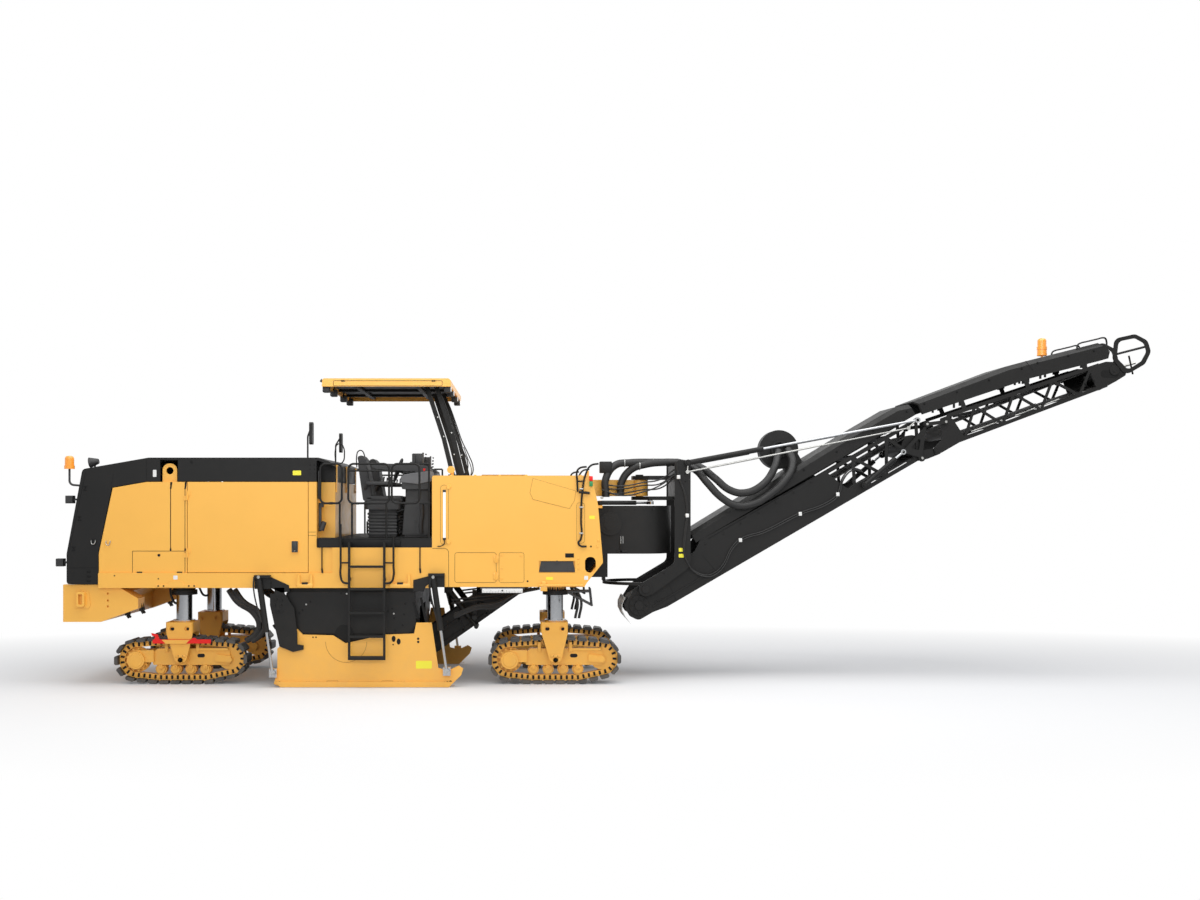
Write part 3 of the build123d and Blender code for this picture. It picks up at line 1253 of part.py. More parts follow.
def head_guard():
    """Pair of flat guard hoops ahead of the head drum, seated on the head plates."""
    y = (UPPER_Y[0] - FIT - 14, UPPER_Y[0] - FIT)
    hoop_plate = side_prism(GUARD_RIM, y, 100) - side_prism(GUARD_HOLE, (y[0] - 1, y[1] + 1), 75)
    tie = disc(3190, 330, (y[0] + 2, -y[0] - 2), 16)
    return hoop_plate + mirror(hoop_plate, about=Plane.XZ) + tie


save("head_guard", AT_UPPER * head_guard())

FRONT_BEACON_AT = (1995.0, 676.0)


def front_beacon():
    """Beacon standing upright on the folding boom's cover."""
    px, pz = FRONT_BEACON_AT
    stand = Pos(px, 0, pz) * Rot(0, UPPER_ANGLE, 0)
    post = Cylinder(16, 130, align=(Align.CENTER, Align.CENTER, Align.MIN))
    base = Pos(0, 0, 110) * Cylinder(BEACON_R, 40, align=(Align.CENTER, Align.CENTER, Align.MIN))
    lens = Pos(0, 0, 150) * Cylinder(BEACON_R - 8, 120, align=(Align.CENTER, Align.CENTER, Align.MIN))
    lens = fillet(lens.edges().sort_by(Axis.Z)[-1], 40)
    return stand * (post + base + lens) - upper_cover()


save("front_beacon", AT_UPPER * front_beacon())

# ---------------------------------------------------------------- fold linkage and lift


def fold_crank():
    """Triangular crank plates on the lower boom, one a side, tied by a shaft."""
    plate = side_prism([CRANK_AT, CRANK_EYE, CRANK_TOP], CRANK_Y)
    for at in (CRANK_AT, CRANK_EYE, CRANK_TOP):
        plate += disc(*at, CRANK_Y, 46)
    centre = [sum(axis) / 3 for axis in zip(CRANK_AT, CRANK_EYE, CRANK_TOP)]
    window = side_prism([
        tuple(c + (p - c) * 0.42 for p, c in zip(at, centre)) for at in (CRANK_AT, CRANK_EYE, CRANK_TOP)
    ], (CRANK_Y[0] - 1, CRANK_Y[1] + 1), 20)
    plate -= window
    plate -= disc(*CRANK_AT, (-600, 0), PIN_R + FIT)
    plate += disc(*CRANK_EYE, (FOLD_CYL_Y + EYE_HALF + CLEAR, CRANK_Y[1]), PIN_R)
    plate += disc(*CRANK_TOP, (LINK_Y[0] - 10, CRANK_Y[1]), PIN_R)
    return plate


def fold_link():
    """Short link from the crank to the folding boom's hinge plate."""
    far = to_boom(4584.0, 3529.0)
    link = strut(CRANK_TOP, far, 50, LINK_Y) + disc(*CRANK_TOP, LINK_Y, 38) + disc(*far, LINK_Y, 38)
    return link - disc(*CRANK_TOP, (-600, 0), PIN_R + FIT) - disc(*far, (-600, 0), PIN_R + FIT)


def fold_cylinder():
    """Barrel and rod that turn the crank."""
    base = Vector(FOLD_EYE[0], FOLD_CYL_Y, FOLD_EYE[1])
    eye = Vector(CRANK_EYE[0], FOLD_CYL_Y, CRANK_EYE[1])
    way = (eye - base).normalized()
    barrel = pipe(tuple(base + way * 45), tuple(base + way * 560), 34, 18 + FIT)
    barrel += bar(tuple(base + way * 20), tuple(base + way * 50), 34)
    barrel += disc(*FOLD_EYE, (FOLD_CYL_Y - EYE_HALF, FOLD_CYL_Y + EYE_HALF), 40)
    barrel -= disc(*FOLD_EYE, (-700, 0), PIN_R + FIT)
    rod = bar(tuple(base + way * 60), tuple(eye - way * 25), 18)
    rod += disc(*CRANK_EYE, (FOLD_CYL_Y - EYE_HALF, FOLD_CYL_Y + EYE_HALF), 36)
    rod -= disc(*CRANK_EYE, (-700, 0), PIN_R + FIT)
    return barrel, rod


save("fold_crank", *[AT_BOOM * piece for piece in both_sides(fold_crank())])
save("fold_link", *[AT_BOOM * piece for piece in both_sides(fold_link())])
barrel, rod = fold_cylinder()
save("fold_barrels", *[AT_BOOM * piece for piece in both_sides(barrel)])
save("fold_rods", *[AT_BOOM * piece for piece in both_sides(rod)])


LIFT_SHORT = 150.0  # how far the lift rod goes in from rest
LIFT_BARREL = 1040.0


def stay_cylinder():
    """Lift barrel on the mast and the long rod to the lower boom's end."""
    turn = radians(BOOM_ANGLE)
    far_x = TAIL_AT[0] + STAY_AT[0] * cos(turn) - STAY_AT[1] * sin(turn)
    far_z = TAIL_AT[1] + STAY_AT[0] * sin(turn) + STAY_AT[1] * cos(turn)
    base = Vector(MAST_PIN[0], -STAY_Y, MAST_PIN[1])
    eye = Vector(far_x, -STAY_Y, far_z)
    way = (eye - base).normalized()
    barrel = pipe(tuple(base + way * 55), tuple(base + way * LIFT_BARREL), 36, 17 + FIT)
    barrel += bar(tuple(base + way * 30), tuple(base + way * 60), 36)
    barrel += disc(*MAST_PIN, (-STAY_Y - EYE_HALF, -STAY_Y + EYE_HALF), 44)
    barrel -= disc(*MAST_PIN, (-700, 0), 22 + FIT)
    rod = bar(tuple(base + way * (60 + CLEAR + LIFT_SHORT)), tuple(eye - way * 25), 17)
    rod += disc(far_x, far_z, (-STAY_Y - EYE_HALF, -STAY_Y + EYE_HALF), 38)
    rod -= disc(far_x, far_z, (-700, 0), PIN_R + FIT)
    return barrel, rod


barrel, rod = stay_cylinder()
save("lift_barrels", *both_sides(barrel))
save("lift_rods", *both_sides(rod))
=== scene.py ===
import bmesh
import bpy
import math
from mathutils import Matrix, Vector
from mathutils.geometry import convex_hull_2d

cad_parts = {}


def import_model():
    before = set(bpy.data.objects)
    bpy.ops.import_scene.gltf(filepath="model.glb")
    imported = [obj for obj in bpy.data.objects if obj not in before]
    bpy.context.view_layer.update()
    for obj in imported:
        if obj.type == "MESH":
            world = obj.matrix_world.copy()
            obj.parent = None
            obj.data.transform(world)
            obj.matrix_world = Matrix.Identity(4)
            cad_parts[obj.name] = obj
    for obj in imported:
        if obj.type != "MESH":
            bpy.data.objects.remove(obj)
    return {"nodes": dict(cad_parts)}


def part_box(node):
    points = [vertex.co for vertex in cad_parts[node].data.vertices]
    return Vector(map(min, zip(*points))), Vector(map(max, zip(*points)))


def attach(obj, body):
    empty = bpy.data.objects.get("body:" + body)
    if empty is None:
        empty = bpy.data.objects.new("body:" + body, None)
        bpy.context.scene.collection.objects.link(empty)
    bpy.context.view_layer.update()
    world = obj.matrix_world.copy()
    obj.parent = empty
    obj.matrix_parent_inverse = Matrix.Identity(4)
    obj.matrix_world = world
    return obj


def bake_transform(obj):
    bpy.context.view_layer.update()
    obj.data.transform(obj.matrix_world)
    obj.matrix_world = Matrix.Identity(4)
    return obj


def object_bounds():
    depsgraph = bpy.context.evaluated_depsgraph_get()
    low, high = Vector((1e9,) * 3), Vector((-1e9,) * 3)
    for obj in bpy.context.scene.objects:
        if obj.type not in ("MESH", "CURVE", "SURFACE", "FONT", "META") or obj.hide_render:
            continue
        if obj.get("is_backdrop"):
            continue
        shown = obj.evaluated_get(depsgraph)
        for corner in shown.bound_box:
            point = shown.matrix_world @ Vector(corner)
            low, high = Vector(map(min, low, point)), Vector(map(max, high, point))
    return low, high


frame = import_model()
CAD_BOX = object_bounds()
NODES = frame["nodes"]

# Cold planer milling machine. Metres, +X forward, +Y the machine's left, +Z up.


# ------------------------------------------------------------------ finishes
def node_tree(name):
    """A new material with its Principled shader and a reader of object coordinates."""
    material = bpy.data.materials.new(name)
    material.use_nodes = True
    tree = material.node_tree
    shader = tree.nodes["Principled BSDF"]
    place = tree.nodes.new("ShaderNodeTexCoord")
    return material, tree, shader, place.outputs["Object"]


def noise(tree, place, scale, detail=3.0, rough=0.55):
    """Noise on object coordinates, as a factor."""
    node = tree.nodes.new("ShaderNodeTexNoise")
    node.inputs["Scale"].default_value = scale
    node.inputs["Detail"].default_value = detail
    node.inputs["Roughness"].default_value = rough
    tree.links.new(place, node.inputs["Vector"])
    return node.outputs["Fac"]


def spread(tree, factor, low, high, start=0.35, end=0.65):
    """Factor stretched from start..end to low..high."""
    node = tree.nodes.new("ShaderNodeMapRange")
    for name, value in (("From Min", start), ("From Max", end), ("To Min", low), ("To Max", high)):
        node.inputs[name].default_value = value
    tree.links.new(factor, node.inputs["Value"])
    return node.outputs["Result"]


def blend_colour(tree, factor, first, second):
    """Colour mixed from two colours or sockets."""
    node = tree.nodes.new("ShaderNodeMix")
    node.data_type = "RGBA"
    tree.links.new(factor, node.inputs["Factor"])
    for socket, value in ((node.inputs[6], first), (node.inputs[7], second)):
        if isinstance(value, tuple):
            socket.default_value = (*value, 1.0)
        else:
            tree.links.new(value, socket)
    return node.outputs[2]


def add_bump(tree, shader, height, strength, distance):
    """Small relief from a height factor."""
    node = tree.nodes.new("ShaderNodeBump")
    node.inputs["Strength"].default_value = strength
    node.inputs["Distance"].default_value = distance
    tree.links.new(height, node.inputs["Height"])
    tree.links.new(node.outputs["Normal"], shader.inputs["Normal"])


def low_dust(tree, place, reach, strength):
    """Factor of road dust that gathers on the lowest surfaces."""
    split = tree.nodes.new("ShaderNodeSeparateXYZ")
    tree.links.new(place, split.inputs["Vector"])
    level = spread(tree, split.outputs["Z"], strength, 0.0, 0.0, reach)
    patch = spread(tree, noise(tree, place, 7.0, 5.0), 0.2, 1.0)
    node = tree.nodes.new("ShaderNodeMath")
    node.operation = "MULTIPLY"
    tree.links.new(level, node.inputs[0])
    tree.links.new(patch, node.inputs[1])
    return node.outputs["Value"]


DUST = (0.30, 0.25, 0.19)


def painted(name, colour, shade, rough, grain, coat=0.0, dust=0.25, metal=0.0, grain_scale=260.0, gloss=0.5):
    """Paint or coated metal: patchy tone, fine skin, a little dust near the ground."""
    material, tree, shader, place = node_tree(name)
    tone = blend_colour(tree, spread(tree, noise(tree, place, 1.7, 4.0), 0.0, 1.0, 0.3, 0.7), colour, shade)
    if dust > 0:
        tone = blend_colour(tree, low_dust(tree, place, 1.1, dust), tone, DUST)
    tree.links.new(tone, shader.inputs["Base Color"])
    tree.links.new(spread(tree, noise(tree, place, 9.0, 4.0), rough - 0.05, rough + 0.07),
                   shader.inputs["Roughness"])
    shader.inputs["Metallic"].default_value = metal
    shader.inputs["Specular IOR Level"].default_value = gloss
    shader.inputs["Coat Weight"].default_value = coat
    shader.inputs["Coat Roughness"].default_value = 0.12
    add_bump(tree, shader, noise(tree, place, grain_scale, 2.0), grain, 0.0006)
    return material


def polished(name, colour, rough):
    """Bare or plated metal with fine drawn lines."""
    material, tree, shader, place = node_tree(name)
    tone = blend_colour(tree, noise(tree, place, 30.0), colour, tuple(c * 0.82 for c in colour))
    tree.links.new(tone, shader.inputs["Base Color"])
    tree.links.new(spread(tree, noise(tree, place, 60.0), rough * 0.7, rough * 1.4),
                   shader.inputs["Roughness"])
    shader.inputs["Metallic"].default_value = 1.0
    add_bump(tree, shader, noise(tree, place, 500.0, 1.0), 0.12, 0.0003)
    return material


def lens(name, colour, glow):
    """Moulded lamp lens with fine upright ribs."""
    material, tree, shader, place = node_tree(name)
    wave = tree.nodes.new("ShaderNodeTexWave")
    wave.inputs["Scale"].default_value = 60.0
    tree.links.new(place, wave.inputs["Vector"])
    tone = blend_colour(tree, wave.outputs["Fac"], colour, tuple(c * 0.8 for c in colour))
    tree.links.new(tone, shader.inputs["Base Color"])
    shader.inputs["Roughness"].default_value = 0.18
    shader.inputs["Coat Weight"].default_value = 0.6
    shader.inputs["Emission Color"].default_value = (*colour, 1.0)
    shader.inputs["Emission Strength"].default_value = glow
    add_bump(tree, shader, wave.outputs["Fac"], 0.25, 0.001)
    return material


YELLOW = painted("machine_yellow", (0.88, 0.455, 0.070), (0.85, 0.44, 0.067), 0.38, 0.10, coat=0.2, dust=0.10)
CAST_YELLOW = painted("cast_yellow", (0.88, 0.445, 0.062), (0.82, 0.41, 0.056), 0.46, 0.35, dust=0.12,
                      grain_scale=120.0)
BLACK = painted("satin_black", (0.0085, 0.0085, 0.008), (0.0115, 0.011, 0.0105), 0.45, 0.30, dust=0.05,
                gloss=0.24)
DEEP_BLACK = painted("deep_black", (0.004, 0.004, 0.004), (0.006, 0.006, 0.0058), 0.5, 0.30, dust=0.03,
                     gloss=0.2)
PLASTIC = painted("moulded_plastic", (0.022, 0.022, 0.023), (0.028, 0.028, 0.028), 0.55, 0.6, dust=0.0,
                  grain_scale=600.0)
GREY_PLASTIC = painted("grey_plastic", (0.11, 0.11, 0.115), (0.13, 0.13, 0.13), 0.5, 0.5, dust=0.0,
                       grain_scale=600.0)
SHOE_STEEL = painted("shoe_steel", (0.040, 0.043, 0.048), (0.060, 0.060, 0.060), 0.52, 0.5, dust=0.3,
                     metal=0.5, grain_scale=90.0)
RUBBER = painted("hose_rubber", (0.011, 0.011, 0.011), (0.016, 0.0155, 0.015), 0.5, 0.5, dust=0.08,
                 grain_scale=400.0, gloss=0.4)
BELT = painted("belt_rubber", (0.02, 0.02, 0.02), (0.03, 0.028, 0.026), 0.7, 0.8, dust=0.2, grain_scale=150.0)
RED = painted("signal_red", (0.80, 0.012, 0.008), (0.70, 0.010, 0.008), 0.4, 0.15, coat=0.1, dust=0.0,
              gloss=0.3)
VINYL = painted("seat_vinyl", (0.018, 0.018, 0.019), (0.026, 0.025, 0.025), 0.6, 0.9, dust=0.0,
                grain_scale=700.0)
PLATE_YELLOW = painted("blank_label", (0.85, 0.78, 0.04), (0.80, 0.73, 0.04), 0.45, 0.05, dust=0.0)
SHADE_YELLOW = painted("yellow_in_shade", (0.42, 0.20, 0.03), (0.36, 0.17, 0.025), 0.5, 0.2, dust=0.0)
FLAP_GREY = painted("flap_sheet", (0.52, 0.52, 0.50), (0.42, 0.42, 0.40), 0.6, 0.3, dust=0.0)
PLATE_WHITE = painted("white_plate", (0.78, 0.78, 0.76), (0.70, 0.70, 0.68), 0.45, 0.1, dust=0.0)
GREEN = painted("signal_green", (0.02, 0.28, 0.08), (0.02, 0.22, 0.07), 0.4, 0.1, dust=0.0)
CHROME = polished("rod_chrome", (0.50, 0.51, 0.52), 0.16)
ZINC = polished("zinc_steel", (0.46, 0.46, 0.44), 0.30)
DRUM_STEEL = painted("drum_steel", (0.16, 0.15, 0.14), (0.10, 0.09, 0.085), 0.5, 0.7, dust=0.5, metal=0.8,
                     grain_scale=60.0)
AMBER = lens("amber_lens", (0.95, 0.33, 0.02), 0.15)
LED = lens("lamp_strip", (0.85, 0.87, 0.88), 0.25)

NODE_FINISH = {
    YELLOW: ("main_frame", "front_frame", "rear_bumper", "side_panels", "side_door_right", "side_door_left",
             "canopy_roof",
             "front_hood", "side_plate_right", "side_plate_left"),
    BLACK: ("engine_hood", "platform", "guard_rails", "ladders", "canopy_posts", "cutter_housing",
            "cutter_side_walls",
            "plate_barrels",
            "moldboard", "collecting_conveyor", "transfer_hood", "slew_frame", "lower_boom", "lower_cover",
            "upper_boom", "upper_cover", "head_guard", "fold_crank", "fold_link", "fold_barrels",
            "lift_barrels",
            "swing_barrel_right", "swing_barrel_left", "suction_fan", "mirrors"),
    DEEP_BLACK: ("engine_block",),
    PLASTIC: ("consoles", "rear_lamps"),
    VINYL: ("seats",),
    BELT: ("collecting_belt", "lower_belt", "upper_belt"),
    CHROME: ("fold_rods", "lift_rods", "swing_rod_right", "swing_rod_left"),
    DRUM_STEEL: ("cutter_drum",),
    AMBER: ("front_beacon",),
}


def dress(node, finish):
    """Gives a carried-over node its finish."""
    slots = NODES[node].data.materials
    slots.clear()
    slots.append(finish)


def dress_where(node, finish, test):
    """A second finish on the faces of a node whose centre passes a test."""
    mesh = NODES[node].data
    mesh.materials.append(finish)
    for face in mesh.polygons:
        if test(face.center, face.normal):
            face.material_index = len(mesh.materials) - 1


for finish, names in NODE_FINISH.items():
    for node in names:
        dress(node, finish)


LEG_STEEL_TOP = 0.84  # chrome columns show above the yokes up to the guides
for unit in ("front_right", "rear_right", "front_left", "rear_left"):
    dress("leg_" + unit, CAST_YELLOW)
    dress_where("leg_" + unit, CHROME, lambda at, out: at.z > LEG_STEEL_TOP)
    dress("undercarriage_" + unit, CAST_YELLOW)
    dress("track_" + unit, SHOE_STEEL)


# ------------------------------------------------------------------ building
def slab(bm, low, high, bevel=0.0):
    """Box between two corners."""
    made = bmesh.ops.create_cube(bm, size=1.0)["verts"]
    bmesh.ops.scale(bm, vec=[high[i] - low[i] for i in range(3)], verts=made)
    bmesh.ops.translate(bm, vec=[(high[i] + low[i]) / 2 for i in range(3)], verts=made)
    if bevel:
        edges = list({edge for vert in made for edge in vert.link_edges})
        bmesh.ops.bevel(bm, geom=edges, offset=bevel, segments=2, profile=0.5, affect="EDGES", material=-1)


def rod(bm, start, end, radius, tip=None, sides=24):
    """Round bar between two points; tip is its radius at the end."""
    start, end = Vector(start), Vector(end)
    way = end - start
    seat = Matrix.Translation((start + end) / 2) @ way.to_track_quat("Z", "Y").to_matrix().to_4x4()
    far = radius if tip is None else tip
    bmesh.ops.create_cone(
        bm, cap_ends=True, segments=sides, radius1=radius, radius2=far, depth=way.length, matrix=seat
    )


def plate(bm, outline, low, high):
    """Flat plate with an X-Z outline, between two Y values."""
    face = bm.faces.new([bm.verts.new((x, low, z)) for x, z in outline])
    made = bmesh.ops.extrude_face_region(bm, geom=[face])["geom"]
    moved = [item for item in made if isinstance(item, bmesh.types.BMVert)]
    bmesh.ops.translate(bm, vec=(0, high - low, 0), verts=moved)


def rounded(x_pair, z_pair, radius, steps=4):
    """Outline of a rectangle with round corners."""
    points = []
    corners = (
        (x_pair[1] - radius, z_pair[1] - radius, 0), (x_pair[0] + radius, z_pair[1] - radius, 90),
        (x_pair[0] + radius, z_pair[0] + radius, 180), (x_pair[1] - radius, z_pair[0] + radius, 270),
    )
    for x, z, turn in corners:
        for step in range(steps + 1):
            angle = math.radians(turn + 90 * step / steps)
            points.append((x + radius * math.cos(angle), z + radius * math.sin(angle)))
    return points


def both(bm):
    """The same pieces again on the machine's left side."""
    copy = bmesh.ops.duplicate(bm, geom=bm.verts[:] + bm.edges[:] + bm.faces[:])["geom"]
    verts = [item for item in copy if isinstance(item, bmesh.types.BMVert)]
    bmesh.ops.scale(bm, vec=(1, -1, 1), verts=verts)


def link_mesh(name, mesh, finish, body, angle=32.0):
    """Object for a finished mesh, smooth within an angle, riding on a body."""
    mesh.materials.append(finish)
    for face in mesh.polygons:
        face.use_smooth = True
    mesh.set_sharp_from_angle(angle=math.radians(angle))
    piece = bpy.data.objects.new(name, mesh)
    bpy.context.scene.collection.objects.link(piece)
    if body:
        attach(piece, body)
    return piece


def place(name, bm, finish, body, bevel=0.0):
    """Piece from a bmesh, with its edges eased by a bevel width."""
    bmesh.ops.recalc_face_normals(bm, faces=bm.faces)
    mesh = bpy.data.meshes.new(name)
    bm.to_mesh(mesh)
    bm.free()
    piece = link_mesh(name, mesh, finish, body)
    if bevel:
        ease = piece.modifiers.new("eased_edges", "BEVEL")
        ease.width = bevel
        ease.segments = 2
        ease.limit_method = "ANGLE"
        ease.angle_limit = math.radians(40)
        ease.harden_normals = True
    return piece


def place_both(name, bm, *rest):
    """Adds the mirrored half, then places the piece."""
    both(bm)
    return place(name, bm, *rest)


def place_turned(turn, name, bm, *rest):
    """Places the piece after moving it to its unit or side."""
    bmesh.ops.transform(bm, matrix=turn, verts=bm.verts)
    return place(name, bm, *rest)


def tube_mesh(name, points, radius, sides=12, steps=6):
    """Mesh of a round tube along a smooth line through points."""
    curve = bpy.data.curves.new(name, "CURVE")
    curve.dimensions = "3D"
    curve.bevel_depth = radius
    curve.bevel_resolution = max(1, sides // 4 - 1)
    curve.resolution_u = steps
    curve.use_fill_caps = True
    spline = curve.splines.new("BEZIER")
    spline.bezier_points.add(len(points) - 1)
    for knot, point in zip(spline.bezier_points, points):
        knot.co = point
        knot.handle_left_type = knot.handle_right_type = "AUTO"
    holder = bpy.data.objects.new(name, curve)
    bpy.context.scene.collection.objects.link(holder)
    graph = bpy.context.evaluated_depsgraph_get()
    mesh = bpy.data.meshes.new_from_object(holder.evaluated_get(graph))
    bpy.data.objects.remove(holder)
    bpy.data.curves.remove(curve)
    mesh.name = name
    mesh.materials.clear()
    return mesh


def add_tube(bm, points, radius, sides=12, steps=6):
    """A round tube added to a piece that is being built."""
    mesh = tube_mesh("tube", points, radius, sides, steps)
    bm.from_mesh(mesh)
    bpy.data.meshes.remove(mesh)


def join_tubes(name, tubes, finish, body, sides=12):
    """Several tubes in one piece; each is a list of points and a radius."""
    bm = bmesh.new()
    for points, radius in tubes:
        add_tube(bm, points, radius, sides)
    return place(name, bm, finish, body)


def bolt_heads(bm, places, face_y, size=0.013, high=0.010):
    """Hexagon heads on washers, standing out towards -Y from a face."""
    for x, z in places:
        rod(bm, (x, face_y, z), (x, face_y - 0.003, z), size * 1.35, sides=16)
        rod(bm, (x, face_y - 0.003, z), (x, face_y - 0.003 - high, z), size, tip=size * 0.93, sides=6)


def mirrored_y(points):
    return [(x, -y, z) for x, y, z in points]


# ------------------------------------------------------------------ sizes taken from the frame
SIDE_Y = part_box("front_hood")[0].y  # outer face of the body on the right
HOUSE_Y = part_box("engine_hood")[0].y  # outer face of the engine house
DECK_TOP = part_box("platform")[1].z

# ------------------------------------------------------------------ engine house
def strip(bm, start, end, wide, face_y, proud=0.0015):
    """Narrow dark line between two X-Z points, lying on a side face."""
    run = Vector((end[0] - start[0], 0, end[1] - start[1]))
    side = Vector((-run.z, 0, run.x)).normalized() * wide / 2
    first, last = Vector((start[0], 0, start[1])), Vector((end[0], 0, end[1]))
    corners = [first + side, last + side, last - side, first - side]
    plate(bm, [(point.x, point.z) for point in corners], face_y - proud, face_y + 0.002)


def label(name, x_pair, z_pair, face_y, finish, body="chassis"):
    """Blank plate on both sides of the machine."""
    bm = bmesh.new()
    plate(bm, rounded(x_pair, z_pair, 0.006), face_y - 0.002, face_y + 0.001)
    place_both(name, bm, finish, body)


bm = bmesh.new()
HOUSE_SEAMS = (
    # from X, Z to X, Z and width of each line on the yellow panels
    (-5.819, 2.688, -5.819, 1.786, 0.010),
    (-5.630, 2.688, -5.630, 1.502, 0.007),
    (-6.318, 1.786, -5.630, 1.786, 0.006),
    (-6.318, 1.786, -6.318, 1.504, 0.006),
    (-4.012, 2.035, -3.915, 2.035, 0.004),
    (-4.012, 1.990, -3.915, 1.990, 0.004),
)
for x1, z1, x2, z2, wide in HOUSE_SEAMS:
    strip(bm, (x1, z1), (x2, z2), wide, HOUSE_Y)
for x in (-5.812, -5.622):
    plate(bm, [(x - 0.016, 2.60), (x + 0.004, 2.60), (x + 0.018, 2.690), (x - 0.006, 2.690)], HOUSE_Y - 0.002,
          HOUSE_Y)
    slab(bm, (x - 0.016, HOUSE_Y - 0.002, 1.790), (x + 0.004, HOUSE_Y, 1.820))
place_both("house_seams", bm, DEEP_BLACK, "chassis")

bm = bmesh.new()
HOOD_SEAMS = (
    (-6.136, 2.985, -6.136, 2.712, 0.006),
    (-6.566, 2.800, -6.600, 2.640, 0.004),
    (-6.930, 2.830, -7.155, 1.760, 0.006),
    (-7.160, 1.567, -6.790, 1.567, 0.006),
    (-3.908, 2.965, -3.908, 2.712, 0.004),
)
for x1, z1, x2, z2, wide in HOOD_SEAMS:
    strip(bm, (x1, z1), (x2, z2), wide, HOUSE_Y)
for x, z in ((-6.936, 2.610), (-7.014, 2.214), (-7.090, 1.817)):
    for step in (-0.022, 0.022):
        slab(bm, (x - 0.022, HOUSE_Y - 0.006, z + step - 0.008), (x + 0.022, HOUSE_Y, z + step + 0.008),
             0.002)
    slab(bm, (x - 0.006, HOUSE_Y - 0.005, z - 0.03), (x + 0.006, HOUSE_Y, z + 0.03))
for z in (1.515, 1.455, 1.395):
    slab(bm, (-6.915, HOUSE_Y - 0.008, z - 0.012), (-6.870, HOUSE_Y, z + 0.012), 0.003)
rod(bm, (-6.829, HOUSE_Y, 1.902), (-6.829, HOUSE_Y - 0.010, 1.902), 0.040)
rod(bm, (-5.547, HOUSE_Y, 2.953), (-5.547, HOUSE_Y - 0.003, 2.953), 0.020)
place_both("hood_seams_and_hinges", bm, DEEP_BLACK, "engine_hood", 0.001)

bm = bmesh.new()
HOOD_BOLTS = [(x, z) for x in (-3.996, -3.938) for z in (2.915, 2.860, 2.804)]
bolt_heads(bm, HOOD_BOLTS, HOUSE_Y, 0.009, 0.006)
place_both("hood_corner_bolts", bm, BLACK, "engine_hood")

bm = bmesh.new()
for x, z in ((-6.635, 1.890), (-6.829, 1.902)):
    wire = [(x - 0.026, HOUSE_Y, z + 0.03), (x - 0.026, HOUSE_Y - 0.016, z), (x, HOUSE_Y - 0.018, z - 0.028),
            (x + 0.026, HOUSE_Y - 0.016, z), (x + 0.026, HOUSE_Y, z + 0.03)]
    add_tube(bm, wire, 0.006, 8, 3)
place_both("lift_off_latches", bm, ZINC, "engine_hood")

bm = bmesh.new()
rod(bm, (-5.971, HOUSE_Y, 1.732), (-5.971, HOUSE_Y - 0.006, 1.732), 0.018)
for x in (-6.225, -5.700):
    slab(bm, (x - 0.035, HOUSE_Y - 0.010, 1.494), (x + 0.035, HOUSE_Y, 1.516), 0.004)
place_both("lower_door_lock", bm, BLACK, "chassis", 0.001)

HANDLE_X, HANDLE_Z = (-4.234, -4.142), (1.766, 1.924)
for side, sign in (("right", 1), ("left", -1)):
    face_y = HOUSE_Y - 0.022
    bm = bmesh.new()
    plate(bm,
          rounded((HANDLE_X[0] + 0.005, HANDLE_X[1] - 0.005), (HANDLE_Z[0] + 0.005, HANDLE_Z[1] - 0.005),
                  0.012),
          face_y - 0.003, face_y + 0.001)
    slab(bm, (HANDLE_X[0] + 0.022, face_y - 0.010, HANDLE_Z[0] + 0.035),
         (HANDLE_X[1] - 0.022, face_y - 0.002, HANDLE_Z[1] - 0.02), 0.004)
    bmesh.ops.scale(bm, vec=(1, sign, 1), verts=bm.verts)
    place("door_handle_" + side, bm, PLASTIC, "side_door_" + side, 0.001)
    bm = bmesh.new()
    rod(bm, (-4.188, face_y - 0.010, 1.790), (-4.188, face_y - 0.013, 1.790), 0.007)
    bmesh.ops.scale(bm, vec=(1, sign, 1), verts=bm.verts)
    place("door_key_" + side, bm, ZINC, "side_door_" + side)

label("hood_blank_label", (-4.218, -4.109), (2.780, 2.840), HOUSE_Y, PLATE_YELLOW, "engine_hood")
label("hood_reflector", (-6.050, -6.004), (2.758, 2.850), HOUSE_Y, PLATE_WHITE, "engine_hood")

# rail brackets and fasteners below the engine house
RAIL_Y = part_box("main_frame")[0].y
bm = bmesh.new()
plate(bm, [(-6.00, 1.312), (-5.47, 1.312), (-5.47, 1.350), (-5.64, 1.350), (-5.66, 1.392), (-5.83, 1.392),
           (-5.85, 1.350), (-6.00, 1.350)], RAIL_Y - 0.012, RAIL_Y)
for x_pair in ((-4.158, -3.948), (-2.945, -2.669)):
    slab(bm, (x_pair[0], RAIL_Y - 0.035, 1.306), (x_pair[1], RAIL_Y, 1.362), 0.006)
    for x in (x_pair[0], x_pair[1] - 0.045):
        plate(bm, [(x, 1.350), (x + 0.045, 1.350), (x + 0.040, 1.480), (x + 0.010, 1.480)], RAIL_Y - 0.032,
              RAIL_Y - 0.004)
place_both("rail_brackets", bm, YELLOW, "chassis", 0.003)
bm = bmesh.new()
for x in (-4.053, -2.807):
    slab(bm, (x - 0.040, RAIL_Y - 0.037, 1.352), (x + 0.040, RAIL_Y - 0.010, 1.380), 0.004)
bolt_heads(bm, [(-5.97, 1.331), (-5.90, 1.331), (-5.57, 1.331), (-5.50, 1.331)], RAIL_Y - 0.012, 0.008, 0.005)
rod(bm, (-5.971, RAIL_Y, 1.425), (-5.971, RAIL_Y - 0.003, 1.425), 0.009)
rod(bm, (-6.545, RAIL_Y, 1.465), (-6.545, RAIL_Y - 0.003, 1.465), 0.009)
place_both("rail_fasteners", bm, BLACK, "chassis")
label("rail_blank_plate", (-5.775, -5.720), (1.415, 1.467), RAIL_Y, PLATE_WHITE)

